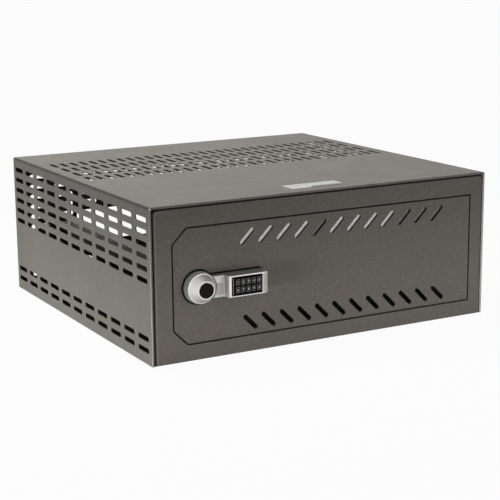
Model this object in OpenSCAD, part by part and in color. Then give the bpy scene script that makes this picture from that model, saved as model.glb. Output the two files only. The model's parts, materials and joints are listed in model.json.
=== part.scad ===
// Ventilated steel lock box for a video recorder, with a hinged front door and an electronic lock.
// Millimetres. +Z is up, the door faces -Y, and the origin is the centre of the base underside.

/* [Cabinet] */
// Width over the side panels
body_w = 510; // [480:1:560]
// Depth from the front edge to the back face
body_d = 480; // [470:1:520]
// Height from the base underside to the top
body_h = 200; // [196:1:230]
// Thickness of the cabinet sheet
sheet = 1.5; // [1.2:0.1:2]
// Outer radius of the bend between the top and each side
bend_r = 3; // [2.5:0.5:4]
// How far the front plate sits inside the outer edges of the shell
frame_inset = 4.5; // [4:0.5:5]
// Depth of the groove between the shell and the front plate
groove_depth = 12; // [10:1:16]

/* [Vent slots] */
// Length of a vent slot
vent_len = 31.5; // [26:0.5:34]
// Width of a vent slot
vent_wid = 6.5; // [5:0.5:8]
// Pitch of the slots along the depth
vent_pitch = 43.2; // [38:0.2:43.4]
// Pitch of the slot rows across the top and up the sides
row_pitch = 15; // [13:0.25:15]
// Number of slot columns along a side
side_columns = 11; // [8:1:11]
// Number of slot rows in the upper group of a side
side_upper_rows = 6; // [3:1:6]
// Number of slot rows in the lower group of a side
side_lower_rows = 2; // [1:1:2]
// Height of the lowest slot row of a side
side_first_row_z = 17.5; // [14:0.5:20]
// Distance of the highest slot row of a side below the top
side_row_down = 17; // [16:0.5:20]
// Distance from the front edge to the middle of the first slots of a side
side_first_in = 25; // [20:0.5:26]
// Number of slot rows across the top
top_columns = 32; // [20:1:32]
// Number of slot groups along the depth of the top
top_rows = 4; // [2:1:4]
// Distance of the top slot group's centre behind the centre of the cabinet
top_group_y = 64; // [40:1:80]

/* [Cable opening] */
// Width of the cable opening in the back
cable_w = 316; // [120:1:330]
// Height of the cable opening
cable_h = 50; // [30:1:54]
// Height of the middle of the cable opening
cable_z = 85; // [80:1:88]
// Corner radius of the cable opening
cable_r = 6; // [4:1:10]

/* [Door] */
// Width of the frame to the left of the door opening
jamb_left = 29; // [26:0.5:34]
// Width of the frame to the right of the door opening
jamb_right = 24; // [20:0.5:30]
// Height of the frame above the door opening
frame_top = 29; // [26:0.5:34]
// Height of the frame below the door opening
frame_bottom = 21; // [18:0.5:26]
// Gap around the closed door
door_gap = 1.5; // [1:0.1:1.6]
// Depth of the door's folded edge
door_fold = 14; // [14:0.5:16]
// Size of the cut corners on the lock side
corner_cut = 20; // [12:1:24]
// Rounding at the ends of the cut corners
corner_r = 8; // [4:1:10]
// Length of a slanted door slot
door_slot_len = 27; // [20:0.5:29]
// Width of a slanted door slot
door_slot_wid = 6; // [4:0.5:7]
// Pitch of the door slots
door_slot_pitch = 26.7; // [26:0.1:27.5]
// Number of slots in each row of the door
door_slots = 12; // [8:1:12]
// Distance from the left edge of the opening to the middle of the first upper slot
door_slot_in = 105.8; // [100:0.2:108]

/* [Lock] */
// Distance of the knob axis from the left side of the cabinet
lock_x = 64; // [60:1:70]
// Distance of the knob axis below the upper edge of the door opening
lock_down = 76.5; // [74:0.5:80]
// Radius of the knob rim
knob_r = 19.8; // [18:0.1:20.5]
// Radius of the round foot under the knob
foot_r = 20.6; // [20.6:0.1:22]
// Height of the lock housing's bar
bar_h = 27.5; // [26:0.5:30]
// Distance from the knob axis to the right end of the housing
bar_reach = 90.5; // [88:0.5:94]
// How far the keypad face stands in front of the door
keypad_rise = 23.6; // [20:0.2:26]
// How far the low arm stands in front of the door
arm_rise = 14; // [12:0.5:15]
// Travel of a key
key_travel = 0.8; // [0.5:0.1:1]
// Throw of the bolts over a quarter turn of the knob
bolt_throw = 12; // [10:0.5:12]
// Radius of a bolt
bolt_r = 4; // [3:0.5:4.5]

/* [Anchors] */
// Spacing of the anchor holes across the width
anchor_x = 400; // [300:1:420]
// Spacing of the anchor holes along the depth
anchor_y = 340; // [240:1:360]
// Radius of an anchor hole
anchor_r = 5; // [3:0.5:6]

/* [Hidden] */
$fn = 64;

// Middle share of any width
half = 1 / 2;
quarter_turn = 90;
// Allowance that lets a cutting shape pass right through a face
past = 1;
// Radial clearance of a running fit and of a fixed fit
run_fit = 0.05;
fixed_fit = 0.02;

// Cabinet planes
left_x = -body_w * half;
right_x = body_w * half;
front_y = -body_d * half;
back_y = body_d * half;
inner_left = left_x + sheet;
inner_right = right_x - sheet;
inner_w = inner_right - inner_left;
plate_back_y = front_y + sheet;
shell_d = back_y - plate_back_y;

// Vent rows of the sides, from the top down and from the base up
side_row_extra = 0.3;
side_top_row_z = body_h - side_row_down;
side_rows = [
    for (i = [0 : side_upper_rows - 1]) side_top_row_z - i * (row_pitch + side_row_extra),
    for (i = [0 : side_lower_rows - 1]) side_first_row_z + i * row_pitch
];
side_first_y = front_y + side_first_in;

// Back panel slots
back_slot_len = 29;
back_pitch = 39.4;
back_columns = 12;
back_side_columns = 2;
back_upper_rows = [for (i = [1 : 4]) side_top_row_z - i * (row_pitch + side_row_extra)];
back_middle_rows = [for (i = [5 : 6]) side_top_row_z - i * (row_pitch + side_row_extra)];
back_lower_rows = [for (i = [0 : side_lower_rows - 1]) side_first_row_z + i * row_pitch];
trim_wall = 2;
trim_depth = 5;

// Door opening, with its left, right, lower and upper edges
open_l = left_x + jamb_left;
open_r = right_x - jamb_right;
open_b = frame_bottom;
open_t = body_h - frame_top;
stop_gap = 0.4;
return_back_y = front_y + door_fold + stop_gap;
door_l = open_l + door_gap;
door_r = open_r - door_gap;
door_b = open_b + door_gap;
door_t = open_t - door_gap;
door_back_y = front_y + door_fold;
door_slot_drop = 20;
door_slot_lift = 18;
door_slot_first_x = open_l + door_slot_in;
door_slot_lower_shift = 3.8;
door_slot_upper_z = open_t - door_slot_drop;
door_slot_lower_z = open_b + door_slot_lift;
door_slot_lean = 45;
baffle_t = 1;
baffle_margin = 13;
baffle_half_h = 15;
plate_corner_r = 4.5;
hem_corner_r = 2.5;
plate_l = left_x + frame_inset;
plate_t = body_h - frame_inset;
lip_y = front_y + groove_depth;
hem_depth = 6.5;

// Steps of a drawn arc, and the share of a growth that a corner cut at 45 degrees takes
arc_steps = 8;
cut_growth_share = sqrt(2);

// Hinge axis: far enough from the door's edge for its corner to swing clear of the frame
hinge_in = 20;
hinge_back = 5;
hinge_x = door_r - hinge_in;
hinge_y = front_y + hinge_back;
hinge_pin_r = 2;
bush_r = 3.2;
bush_flange_r = 4.5;
bush_flange_t = 0.9;
bush_len = 9;
tab_t = 2;
tab_w = 16;
tab_d = 11;
pin_reach = 10;

// Door stops and ledges
stop_in = 5;
stop_out = 6.5;
stop_start = 26;
stop_l = door_l + stop_start;
stop_r = hinge_x - hinge_in;
ledge_below_row = 51;
ledge_top_z = side_top_row_z - ledge_below_row;
ledge_w = 18;
ledge_drop = 38;
ledge_len = 286;
ledge_gap = 2.5;
ledge_front_y = lip_y + sheet + ledge_gap;
ledge_back_y = ledge_front_y + ledge_len;
strike_t = 3;
strike_border = 8;
strike_r = open_l - sheet;
bolt_hole_gap = 0.5;

// Lock layout. Heights in front of the door face are called rise, depths behind it are y values
axis_x = left_x + lock_x;
lock_z = open_t - lock_down;
gasket_rise = 1.6;
gasket_border = 1.9;
foot_rise = 6.4;
spindle_r = 4;
spindle_end = 16;
spindle_hole_gap = 1;
spindle_end_y = front_y + spindle_end;
wire_hole_r = 5;

// Knob, from its underside to its nose. Each step is taken from the one before it
turn_gap = 0.4;
knob_start = foot_rise + turn_gap;
knob_skirt_step = 0.2;
knob_skirt_rise = 1.5;
knob_rim_rise = 12.4;
rim_taper = 0.5;
rim_chamfer = 0.5;
rim_flat = 0.5;
crown_in = 1.4;
crown_up = 0.6;
cone_mid_out = 4.2;
cone_mid_up = 4.4;
cone_end_out = 1.3;
cone_end_down = 3.4;
knob_top_rise = 24.4;
knob_nose_r = 11.7;
nose_chamfer = 0.8;
knob_bore_r = 9.9;
knob_floor = 9.4;
cap_gap = 0.4;
cap_r = knob_bore_r - cap_gap;
cap_proud = 0.5;
cap_t = 2.5;
cap_rise = knob_top_rise + cap_proud;
cylinder_rise = cap_rise - cap_t - cap_gap;
core_r = 6;
core_set_back = 0.6;
core_rise = cylinder_rise - core_set_back;
core_len = 10.4;
core_floor_rise = core_rise - core_len;
core_slot_len = 7;
core_slot_wid = 1.6;
core_slot_deep = 3;

// Arm and keypad housing
bar_half = bar_h * half;
arm_gap = 0.5;
arm_hollow_r = knob_r + arm_gap;
arm_len = 31.5;
bevel_len = 0.6;
end_round_r = 9.4;
bar_corner_r = 5;
bar_end_x = axis_x + bar_reach;
bevel_x = axis_x + arm_len;
face_x = bevel_x + bevel_len;
face_end_x = bar_end_x - end_round_r;

// Keypad window, sized by five columns and two rows of keys
key_cols = 5;
key_rows = 2;
key_w = 6;
key_h = 8;
key_pitch_x = 7.55;
key_pitch_z = 9.9;
key_hole_gap = 0.3;
key_proud = 0.3;
keys_shift = 2;
window_w = 44;
window_h = 24.4;
window_in = 3.1;
window_x = face_x + window_in + window_w * half;
keys_x = window_x + keys_shift;
window_recess = 0.5;
window_plate_t = 1;
plate_seat = 0.5;
cavity_wall = 1;
cavity_floor_rise = 4;
key_depth = 3.4;
board_t = 1.6;
board_gap = 5.7;
board_rise = keypad_rise + key_proud - key_depth - key_travel - board_gap;

// Chassis and cover inside the door
chassis_t = 2;
cover_gap = 0.3;
cover_past_bar = 4;
cover_below = 31;
cover_above = 33;
cover_wall = 1.2;
cover_deep = 34;
chassis_y = plate_back_y;
chassis_back_y = chassis_y + chassis_t;
cover_l = door_l + sheet + cover_gap;
cover_r = bar_end_x + cover_past_bar;
cover_b = lock_z - cover_below;
cover_t = lock_z + cover_above;
cover_back_y = front_y + cover_deep;

// Bolts, bolt bar and crank
bolt_depth = 9;
bolt_offset_z = 22;
bolt_inset = 0.4;
bolt_y = front_y + bolt_depth;
bolt_zs = [lock_z - bolt_offset_z, lock_z + bolt_offset_z];
bolt_tip_x = door_l + bolt_inset;
bar_w = 7.8;
bar_off = 6.2;
bar_r = axis_x - bar_off;
bar_l = bar_r - bar_w;
bar_t = 3;
bar_y = bolt_y - bar_t * half;
bar_z_reach = 27;
crank_r = bolt_throw / sqrt(2);
crank_pin_r = 1.7;
crank_pin_gap = 0.4;
crank_t = 3;
crank_gap = 0.4;
crank_y = bar_y + bar_t + crank_gap;
crank_lobe_r = 3.6;
crank_hub_r = 6.5;
fork_gap = 0.6;
fork_h = 8.9;
fork_low_z = lock_z + spindle_r + fork_gap;
fork_high_z = fork_low_z + fork_h;
fork_x = axis_x + crank_r * cos(half * quarter_turn);
guide_w = 3.6;
guide_h = 14;
guide_gap = 0.2;
guide_border = 2;
guide_l = cover_l + cover_wall + guide_gap;

// Solenoid, whose pin drops into the notch above the bolt bar's arm
sol_pin_r = 2;
sol_pin_gap = 0.5;
sol_travel = 4;
sol_above = 5;
sol_top_gap = 0.5;
sol_half = 5.1;
sol_roof = 3;
sol_pin_top_gap = 1;
sol_x = axis_x;
sol_y = bolt_y;
sol_low_z = fork_high_z + sol_above;
sol_high_z = cover_t - cover_wall - sol_top_gap;
notch_gap = 0.6;
notch_floor_gap = 0.4;
notch_border = 2.5;
notch_half = sol_pin_r + notch_gap;
notch_deep = sol_travel + notch_floor_gap;

// Battery tray with four round cells, and its lid
cell_r = 7.1;
cell_len = 49;
cell_count = 4;
cell_gap = 0.3;
tray_wall = 1;
tray_side_gap = 0.4;
tray_lift = 8;
tray_depth = 15;
tray_r_x = cover_r - cover_wall - tray_side_gap;
tray_l_x = tray_r_x - cell_len - 2 * (tray_wall + cell_gap);
tray_y = chassis_back_y + tray_lift;
tray_pitch = 2 * (cell_r + cell_gap);
tray_h = cell_count * tray_pitch + 2 * tray_wall;
tray_z = (cover_b + cover_t) * half;
lid_t = 1.2;
lid_gap = 0.2;
lid_in = 3;
lid_window_w = 44;
lid_window_h = 50;
lid_border = 3;
lid_l = tray_l_x + lid_in;

// Reset button and screws
button_right = 22;
button_below = 20;
button_x = axis_x + button_right;
button_z = lock_z - button_below;
button_r = 2.6;
button_proud = 2;
button_deep = 6;
screw_r = 2;
screw_head_r = 3.8;
screw_head_t = 2.2;
lock_screw_in = 7;
lock_screw_x = bevel_x - lock_screw_in;
lock_screw_dz = 8;
lock_screw_zs = [lock_z - lock_screw_dz, lock_z + lock_screw_dz];
lock_screw_rise = 9;
tab_size = 8;
tab_from_axis = 14;
tab_pitch = 50;
tab_screw_up = 5;
tab_screw_head_r = 2.8;
tab_screw_z = cover_t + tab_screw_up;

// Paint and metal colours
coat = [0.47, 0.46, 0.43];
coat_top = [0.56, 0.54, 0.51];
coat_front = [0.34, 0.33, 0.30];
silver = [0.78, 0.77, 0.75];
zinc = [0.72, 0.72, 0.70];
black = [0.09, 0.09, 0.08];
brass = [0.76, 0.62, 0.30];
board_green = [0.10, 0.32, 0.16];
cell_blue = [0.16, 0.26, 0.42];

// Drawing helpers
// A flat drawing in (x, z), made a plate from y_front to y_front + t
module front_plate(y_front, t) {
    translate([0, y_front + t, 0]) rotate([quarter_turn, 0, 0]) linear_extrude(t) children();
}

// A flat drawing in (y, z), made a plate from x_left to x_left + t
module side_plate(x_left, t) {
    translate([x_left, 0, 0]) rotate([quarter_turn, 0, quarter_turn]) linear_extrude(t) children();
}

// A round bar along +Y, with its near end at y
module rod_y(x, y, z, r, len) {
    translate([x, y, z]) rotate([-quarter_turn, 0, 0]) cylinder(h = len, r = r);
}

// A round bar along +X, with its near end at x
module rod_x(x, y, z, r, len) {
    translate([x, y, z]) rotate([0, quarter_turn, 0]) cylinder(h = len, r = r);
}

// A round bar along +Z, with its lower end at z
module rod_z(x, y, z, r, len) {
    translate([x, y, z]) cylinder(h = len, r = r);
}

// A box between two opposite corners
module box(low, high) {
    translate(low) cube(high - low);
}

// A slot with round ends, along its own first axis
module slot_shape(len, wid) {
    square([len - wid, wid], center = true);
    for (s = [-1, 1]) translate([s * (len - wid) * half, 0]) circle(d = wid);
}

// A rectangle with round corners
module round_rect(w, h, r) {
    square([w - 2 * r, h], center = true);
    square([w, h - 2 * r], center = true);
    for (sx = [-1, 1], sy = [-1, 1]) translate([sx * (w * half - r), sy * (h * half - r)]) circle(r = r);
}

// Rectangle standing on the base line, with its two upper corners rounded
module top_round_rect(w, h, r) {
    intersection() {
        translate([-w * half, 0]) square([w, h]);
        translate([0, h * half - r]) round_rect(w, h + 2 * r, r);
    }
}

// Points of an arc about c, from angle a0 to angle a1
function arc(c, r, a0, a1) = [
    for (i = [0 : arc_steps])
        let (a = a0 + (a1 - a0) * i / arc_steps)
        [c[0] + r * cos(a), c[1] + r * sin(a)]
];

// Distance from a corner turned by 45 degrees to the tangent point of its rounding
function cut_tangent(r) = r * tan(quarter_turn / 4);

// Outline with square corners on the right and rounded cut corners on the left
function door_outline(l, r, b, t, cut, cr) = let (k = cut_tangent(cr), s = sqrt(half)) concat(
    [[r, b], [r, t]],
    arc([l + cut + k, t - cr], cr, quarter_turn, quarter_turn * 1.5),
    arc([l + cr, t - cut - k], cr, quarter_turn * 1.5, 2 * quarter_turn),
    arc([l + cr, b + cut + k], cr, 2 * quarter_turn, quarter_turn * 2.5),
    arc([l + cut + k, b + cr], cr, quarter_turn * 2.5, 3 * quarter_turn)
);

// The outline moved outwards by d
module door_shape(d) {
    grow = d * tan(quarter_turn / 4);
    polygon(door_outline(
        open_l - d, open_r + d, open_b - d, open_t + d,
        corner_cut + grow * cut_growth_share, corner_r + d
    ));
}

// Cabinet
module top_vents() {
    first_x = -(top_columns - 1) * half * row_pitch;
    first_y = top_group_y - (top_rows - 1) * half * vent_pitch;
    for (i = [0 : top_columns - 1], j = [0 : top_rows - 1])
        translate([first_x + i * row_pitch, first_y + j * vent_pitch])
            rotate(quarter_turn) slot_shape(vent_len, vent_wid);
}

module top_panel() {
    color(coat_top) translate([0, 0, body_h - sheet]) linear_extrude(sheet) difference() {
        translate([left_x + bend_r, plate_back_y]) square([body_w - 2 * bend_r, shell_d]);
        top_vents();
    }
}

module side_vents() {
    for (i = [0 : side_columns - 1], z = side_rows)
        translate([side_first_y + i * vent_pitch, z]) slot_shape(vent_len, vent_wid);
}

// Left side wall with its bend at the top
module side_wall() {
    side_plate(left_x, sheet) difference() {
        translate([plate_back_y, 0]) square([shell_d, body_h - bend_r]);
        side_vents();
    }
    front_plate(plate_back_y, shell_d) translate([left_x + bend_r, body_h - bend_r]) intersection() {
        difference() {
            circle(r = bend_r);
            circle(r = bend_r - sheet);
        }
        translate([-bend_r, 0]) square(bend_r);
    }
}

module side_panel_left() {
    color(coat) side_wall();
}

module side_panel_right() {
    color(coat) mirror([1, 0, 0]) side_wall();
}

// Front edge of the shell, folded back inside the top and the sides: the fold, and the leg behind it
module front_hem() {
    color(coat_top) difference() {
        union() {
            front_plate(front_y, sheet) top_round_rect(body_w, body_h, bend_r);
            front_plate(plate_back_y, hem_depth) difference() {
                top_round_rect(inner_w, body_h - sheet, bend_r - sheet);
                translate([inner_left, 0]) square([inner_w, sheet]);
            }
        }
        front_plate(front_y - past, sheet + hem_depth + 2 * past) translate([0, -past])
            top_round_rect(inner_w - 2 * sheet, body_h - 2 * sheet + past, hem_corner_r);
    }
}

module base_panel() {
    color(coat) linear_extrude(sheet) difference() {
        translate([inner_left, plate_back_y]) square([inner_w, back_y - sheet - plate_back_y]);
        for (sx = [-1, 1], sy = [-1, 1])
            translate([sx * anchor_x * half, sy * anchor_y * half]) circle(r = anchor_r);
    }
}

module back_vents() {
    first_x = -(back_columns - 1) * half * back_pitch;
    for (i = [0 : back_columns - 1], z = concat(back_upper_rows, back_lower_rows))
        translate([first_x + i * back_pitch, z]) slot_shape(back_slot_len, vent_wid);
    for (i = [0 : back_side_columns - 1], s = [-1, 1], z = back_middle_rows)
        translate([s * (first_x + i * back_pitch), z]) slot_shape(back_slot_len, vent_wid);
}

module back_panel() {
    color(coat) front_plate(back_y - sheet, sheet) difference() {
        top_round_rect(inner_w, body_h - sheet, bend_r - sheet);
        back_vents();
        translate([0, cable_z]) round_rect(cable_w, cable_h, cable_r);
    }
}

// Rubber strip pushed over the edge of the cable opening
module cable_edge_trim() {
    color(black) front_plate(back_y - trim_depth, trim_depth - sheet) translate([0, cable_z]) difference() {
        round_rect(cable_w + 2 * trim_wall, cable_h + 2 * trim_wall, cable_r + trim_wall);
        round_rect(cable_w, cable_h, cable_r);
    }
}

// Front plate with a groove around it, a folded edge round the door opening and the hinge pin holes
module front_frame() {
    color(coat_front) difference() {
        union() {
            front_plate(front_y, sheet) difference() {
                top_round_rect(-2 * plate_l, plate_t, plate_corner_r);
                door_shape(0);
            }
            front_plate(plate_back_y, return_back_y - plate_back_y) difference() {
                door_shape(sheet);
                door_shape(0);
            }
            front_plate(plate_back_y, lip_y - plate_back_y) difference() {
                top_round_rect(-2 * plate_l, plate_t, plate_corner_r);
                top_round_rect(-2 * (plate_l + sheet), plate_t - sheet, plate_corner_r - sheet);
                translate([plate_l, 0]) square([-2 * plate_l, sheet]);
            }
            front_plate(lip_y, sheet) difference() {
                top_round_rect(inner_w, body_h - sheet, bend_r - sheet);
                translate([inner_left, 0]) square([inner_w, sheet]);
                top_round_rect(-2 * (plate_l + sheet), plate_t - sheet, plate_corner_r - sheet);
            }
        }
        for (z = bolt_zs) rod_x(open_l - 2 * sheet, bolt_y, z, bolt_r + bolt_hole_gap, 3 * sheet);
        rod_z(hinge_x, hinge_y, open_b - 2 * sheet, hinge_pin_r + fixed_fit, 3 * sheet);
        rod_z(hinge_x, hinge_y, open_t - sheet, hinge_pin_r + fixed_fit, 3 * sheet);
    }
}

// Strips behind the folded edge that the closed door rests on
module door_stops() {
    color(coat_front) {
        box([stop_l, return_back_y, open_b - stop_out], [stop_r, return_back_y + sheet, open_b + stop_in]);
        box([stop_l, return_back_y, open_t - stop_in], [stop_r, return_back_y + sheet, open_t + stop_out]);
    }
}

// Hardened plate beside the folded edge that the bolts enter
module strike_plate() {
    reach = bolt_offset_z + bolt_r + strike_border;
    color(zinc) difference() {
        box(
            [strike_r - strike_t, plate_back_y, lock_z - reach],
            [strike_r, return_back_y, lock_z + reach]
        );
        for (z = bolt_zs)
            rod_x(strike_r - strike_t - past, bolt_y, z, bolt_r + bolt_hole_gap, strike_t + 2 * past);
    }
}

// Angle bracket along the left wall, its leg hanging from the edge away from the wall
module ledge() {
    ledge_r = inner_left + ledge_w;
    plate_low_z = ledge_top_z - sheet;
    box([inner_left, ledge_front_y, plate_low_z], [ledge_r, ledge_back_y, ledge_top_z]);
    box([ledge_r - sheet, ledge_front_y, ledge_top_z - ledge_drop], [ledge_r, ledge_back_y, plate_low_z]);
}

module ledge_left() {
    color(zinc) ledge();
}

module ledge_right() {
    color(zinc) mirror([1, 0, 0]) ledge();
}

// Tabs that hold the hinge pins, above and below the folded edge
module hinge_tabs() {
    reach = tab_w * half;
    color(coat_front) for (z = [open_b - sheet - tab_t, open_t + sheet]) difference() {
        box([hinge_x - reach, plate_back_y, z], [hinge_x + reach, plate_back_y + tab_d, z + tab_t]);
        rod_z(hinge_x, hinge_y, z - past, hinge_pin_r + fixed_fit, tab_t + 2 * past);
    }
}

module hinge_pins() {
    pin_len = sheet + tab_t + door_gap + pin_reach;
    color(zinc) {
        rod_z(hinge_x, hinge_y, open_b - sheet - tab_t, hinge_pin_r, pin_len);
        rod_z(hinge_x, hinge_y, open_t + sheet + tab_t - pin_len, hinge_pin_r, pin_len);
    }
}

// A flanged bush in the door's folded edge, its flange facing away from the door
module hinge_bush(z_edge, out) {
    translate([hinge_x, hinge_y, z_edge]) mirror([0, 0, out > 0 ? 0 : 1]) difference() {
        union() {
            cylinder(h = bush_flange_t, r = bush_flange_r);
            translate([0, 0, -bush_len]) cylinder(h = bush_len, r = bush_r);
        }
        translate([0, 0, -bush_len - past])
            cylinder(h = bush_len + bush_flange_t + 2 * past, r = hinge_pin_r + run_fit);
    }
}

module hinge_bushes() {
    color(black) {
        hinge_bush(door_t, 1);
        hinge_bush(door_b, -1);
    }
}

// Door
module door_vents() {
    for (i = [0 : door_slots - 1]) {
        translate([door_slot_first_x + i * door_slot_pitch, door_slot_upper_z])
            rotate(door_slot_lean) slot_shape(door_slot_len, door_slot_wid);
        translate([door_slot_first_x + door_slot_lower_shift + i * door_slot_pitch, door_slot_lower_z])
            rotate(-door_slot_lean) slot_shape(door_slot_len, door_slot_wid);
    }
}

module door_panel() {
    color(coat_front) difference() {
        union() {
            front_plate(front_y, sheet) difference() {
                door_shape(-door_gap);
                door_vents();
            }
            front_plate(plate_back_y, door_back_y - plate_back_y) difference() {
                door_shape(-door_gap);
                door_shape(-door_gap - sheet);
            }
        }
        lock_holes(front_y - past, sheet + 2 * past);
        for (z = bolt_zs)
            rod_x(door_l - past, bolt_y, z, bolt_r + run_fit, sheet + 2 * past);
        rod_z(hinge_x, hinge_y, door_b - past, bush_r + fixed_fit, sheet + 2 * past);
        rod_z(hinge_x, hinge_y, door_t - sheet - past, bush_r + fixed_fit, sheet + 2 * past);
    }
}

// Bright plates fixed behind two groups of the upper slots
module slot_baffles() {
    slots_covered = 4;
    group_starts = [0, 5];
    span = (slots_covered - 1) * door_slot_pitch;
    color(zinc) for (first = group_starts) {
        x = door_slot_first_x + first * door_slot_pitch;
        box(
            [x - baffle_margin, plate_back_y, door_slot_upper_z - baffle_half_h],
            [x + span + baffle_margin, plate_back_y + baffle_t, door_slot_upper_z + baffle_half_h]
        );
    }
}

// Painted strip over the bright plates, which closes the whole upper row of slots from behind
module slot_shield() {
    front = plate_back_y + baffle_t;
    span = (door_slots - 1) * door_slot_pitch;
    color(coat_front) box(
        [door_slot_first_x - baffle_margin, front, door_slot_upper_z - baffle_half_h],
        [door_slot_first_x + span + baffle_margin, front + baffle_t, door_slot_upper_z + baffle_half_h]
    );
}

// Lock outside
// Foot print of the lock: a disc and a bar to the right, in (x, z)
module lock_print(grow) {
    translate([axis_x, lock_z]) circle(r = foot_r + grow);
    translate([(axis_x + bar_end_x + grow) * half, lock_z])
        round_rect(bar_reach + grow, bar_h + 2 * grow, bar_corner_r + grow);
}

module lock_holes(y_low, depth) {
    rod_y(axis_x, y_low, lock_z, spindle_r + spindle_hole_gap, depth);
    rod_y(window_x, y_low, lock_z, wire_hole_r, depth);
    for (z = lock_screw_zs) rod_y(lock_screw_x, y_low, z, screw_r + fixed_fit, depth);
}

module lock_gasket() {
    color(black) difference() {
        front_plate(front_y - gasket_rise, gasket_rise) lock_print(gasket_border);
        lock_holes(front_y - gasket_rise - past, gasket_rise + 2 * past);
    }
}

// Side outline of the arm and keypad housing in (x, y), with a bevel on the left and a round end
function housing_outline(x_start, y_base) = concat(
    [
        [x_start, y_base],
        [x_start, front_y - arm_rise],
        [bevel_x, front_y - arm_rise],
        [face_x, front_y - keypad_rise]
    ],
    arc([face_end_x, front_y - keypad_rise + end_round_r], end_round_r, -quarter_turn, 0),
    [[bar_end_x, y_base]]
);

module lock_housing() {
    base_y = front_y - gasket_rise;
    cavity_half_w = window_w * half + cavity_wall;
    plate_under_y = front_y - keypad_rise + window_recess + window_plate_t;
    color(silver) difference() {
        union() {
            front_plate(front_y - foot_rise, foot_rise - gasket_rise)
                translate([axis_x, lock_z]) circle(r = foot_r);
            intersection() {
                translate([0, 0, lock_z - bar_half])
                    linear_extrude(bar_h) polygon(housing_outline(axis_x, base_y));
                front_plate(front_y - keypad_rise - past, keypad_rise) lock_print(0);
            }
        }
        rod_y(axis_x, front_y - keypad_rise - past, lock_z, arm_hollow_r, keypad_rise + past - foot_rise);
        front_plate(front_y - keypad_rise - past, past + window_recess) translate([window_x, lock_z])
            square([window_w, window_h], center = true);
        box(
            [window_x - cavity_half_w, plate_under_y, lock_z - window_h * half],
            [window_x + cavity_half_w, front_y - cavity_floor_rise, lock_z + window_h * half]
        );
        front_plate(front_y - keypad_rise, window_recess + window_plate_t + plate_seat)
            translate([window_x, lock_z]) square([window_w, window_h], center = true);
        lock_holes(front_y - lock_screw_rise, lock_screw_rise + past);
    }
}

module keypad_board() {
    color(board_green) box(
        [window_x - window_w * half - cavity_wall, front_y - board_rise, lock_z - window_h * half],
        [window_x + window_w * half + cavity_wall, front_y - board_rise + board_t, lock_z + window_h * half]
    );
}

function key_x(column) = keys_x + (column - (key_cols - 1) * half) * key_pitch_x;
function key_z(row) = lock_z + ((key_rows - 1) * half - row) * key_pitch_z;

module keypad_plate() {
    hole = [key_w + 2 * key_hole_gap, key_h + 2 * key_hole_gap];
    color(black) front_plate(front_y - keypad_rise + window_recess, window_plate_t) difference() {
        translate([window_x, lock_z]) square([window_w, window_h], center = true);
        for (c = [0 : key_cols - 1], r = [0 : key_rows - 1])
            translate([key_x(c), key_z(r)]) square(hole, center = true);
    }
}

// One key, counted along the upper row and then the lower row
module key(index) {
    column = index % key_cols;
    row = floor(index / key_cols);
    color(black) translate([key_x(column), front_y - keypad_rise - key_proud, key_z(row)])
        front_plate(0, key_depth) square([key_w, key_h], center = true);
}

// Knob: a skirt, a rim and a hollowed cone, open in front for the key cylinder
module knob() {
    profile = [
        [spindle_r + fixed_fit, knob_start],
        [knob_r - knob_skirt_step, knob_start],
        [knob_r, knob_start + knob_skirt_rise],
        [knob_r - rim_taper, knob_rim_rise - rim_chamfer],
        [knob_r - rim_taper - rim_flat, knob_rim_rise],
        [knob_r - rim_taper - crown_in, knob_rim_rise + crown_up],
        [knob_nose_r + cone_mid_out, knob_rim_rise + cone_mid_up],
        [knob_nose_r + cone_end_out, knob_top_rise - cone_end_down],
        [knob_nose_r, knob_top_rise - nose_chamfer],
        [knob_nose_r - nose_chamfer, knob_top_rise],
        [knob_bore_r, knob_top_rise],
        [knob_bore_r, knob_floor],
        [spindle_r + fixed_fit, knob_floor]
    ];
    color(silver) translate([axis_x, front_y, lock_z])
        rotate([quarter_turn, 0, 0]) rotate_extrude() polygon(profile);
}

// Lock body that fills the knob's bore
module key_cylinder() {
    color(brass) difference() {
        rod_y(axis_x, front_y - cylinder_rise, lock_z, knob_bore_r - fixed_fit, cylinder_rise - knob_floor);
        rod_y(
            axis_x, front_y - cylinder_rise - past, lock_z,
            core_r + run_fit, cylinder_rise + past - core_floor_rise
        );
    }
}

// Turning core with its key slot
module cylinder_core() {
    color(brass) difference() {
        rod_y(axis_x, front_y - core_rise, lock_z, core_r, core_rise - core_floor_rise);
        box(
            [axis_x - core_slot_wid * half, front_y - core_rise - past, lock_z - core_slot_len * half],
            [
                axis_x + core_slot_wid * half,
                front_y - core_rise + core_slot_deep,
                lock_z + core_slot_len * half
            ]
        );
    }
}

// Black cap pushed over the key cylinder
module knob_cap() {
    color(black) rod_y(axis_x, front_y - cap_rise, lock_z, cap_r, cap_t);
}

// Lock inside
module knob_spindle() {
    len = spindle_end_y - front_y + knob_floor;
    color(zinc) rod_y(axis_x, front_y - knob_floor, lock_z, spindle_r, len);
}

// Crank on the spindle, with the pin that moves the bolt bar
module crank() {
    pin = [axis_x + crank_r * cos(half * quarter_turn), lock_z + crank_r * sin(half * quarter_turn)];
    color(zinc) {
        difference() {
            front_plate(crank_y, crank_t) {
                translate([axis_x, lock_z]) circle(r = crank_hub_r);
                translate(pin) circle(r = crank_lobe_r);
            }
            rod_y(axis_x, crank_y - past, lock_z, spindle_r + fixed_fit, crank_t + 2 * past);
        }
        rod_y(pin[0], bar_y, pin[1], crank_pin_r, crank_y - bar_y + crank_t * half);
    }
}

// Plate behind the door that carries the bolt work
module lock_chassis() {
    color(zinc) difference() {
        box([cover_l, chassis_y, cover_b], [cover_r, chassis_back_y, cover_t]);
        lock_holes(chassis_y - past, chassis_t + 2 * past);
    }
}

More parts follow.
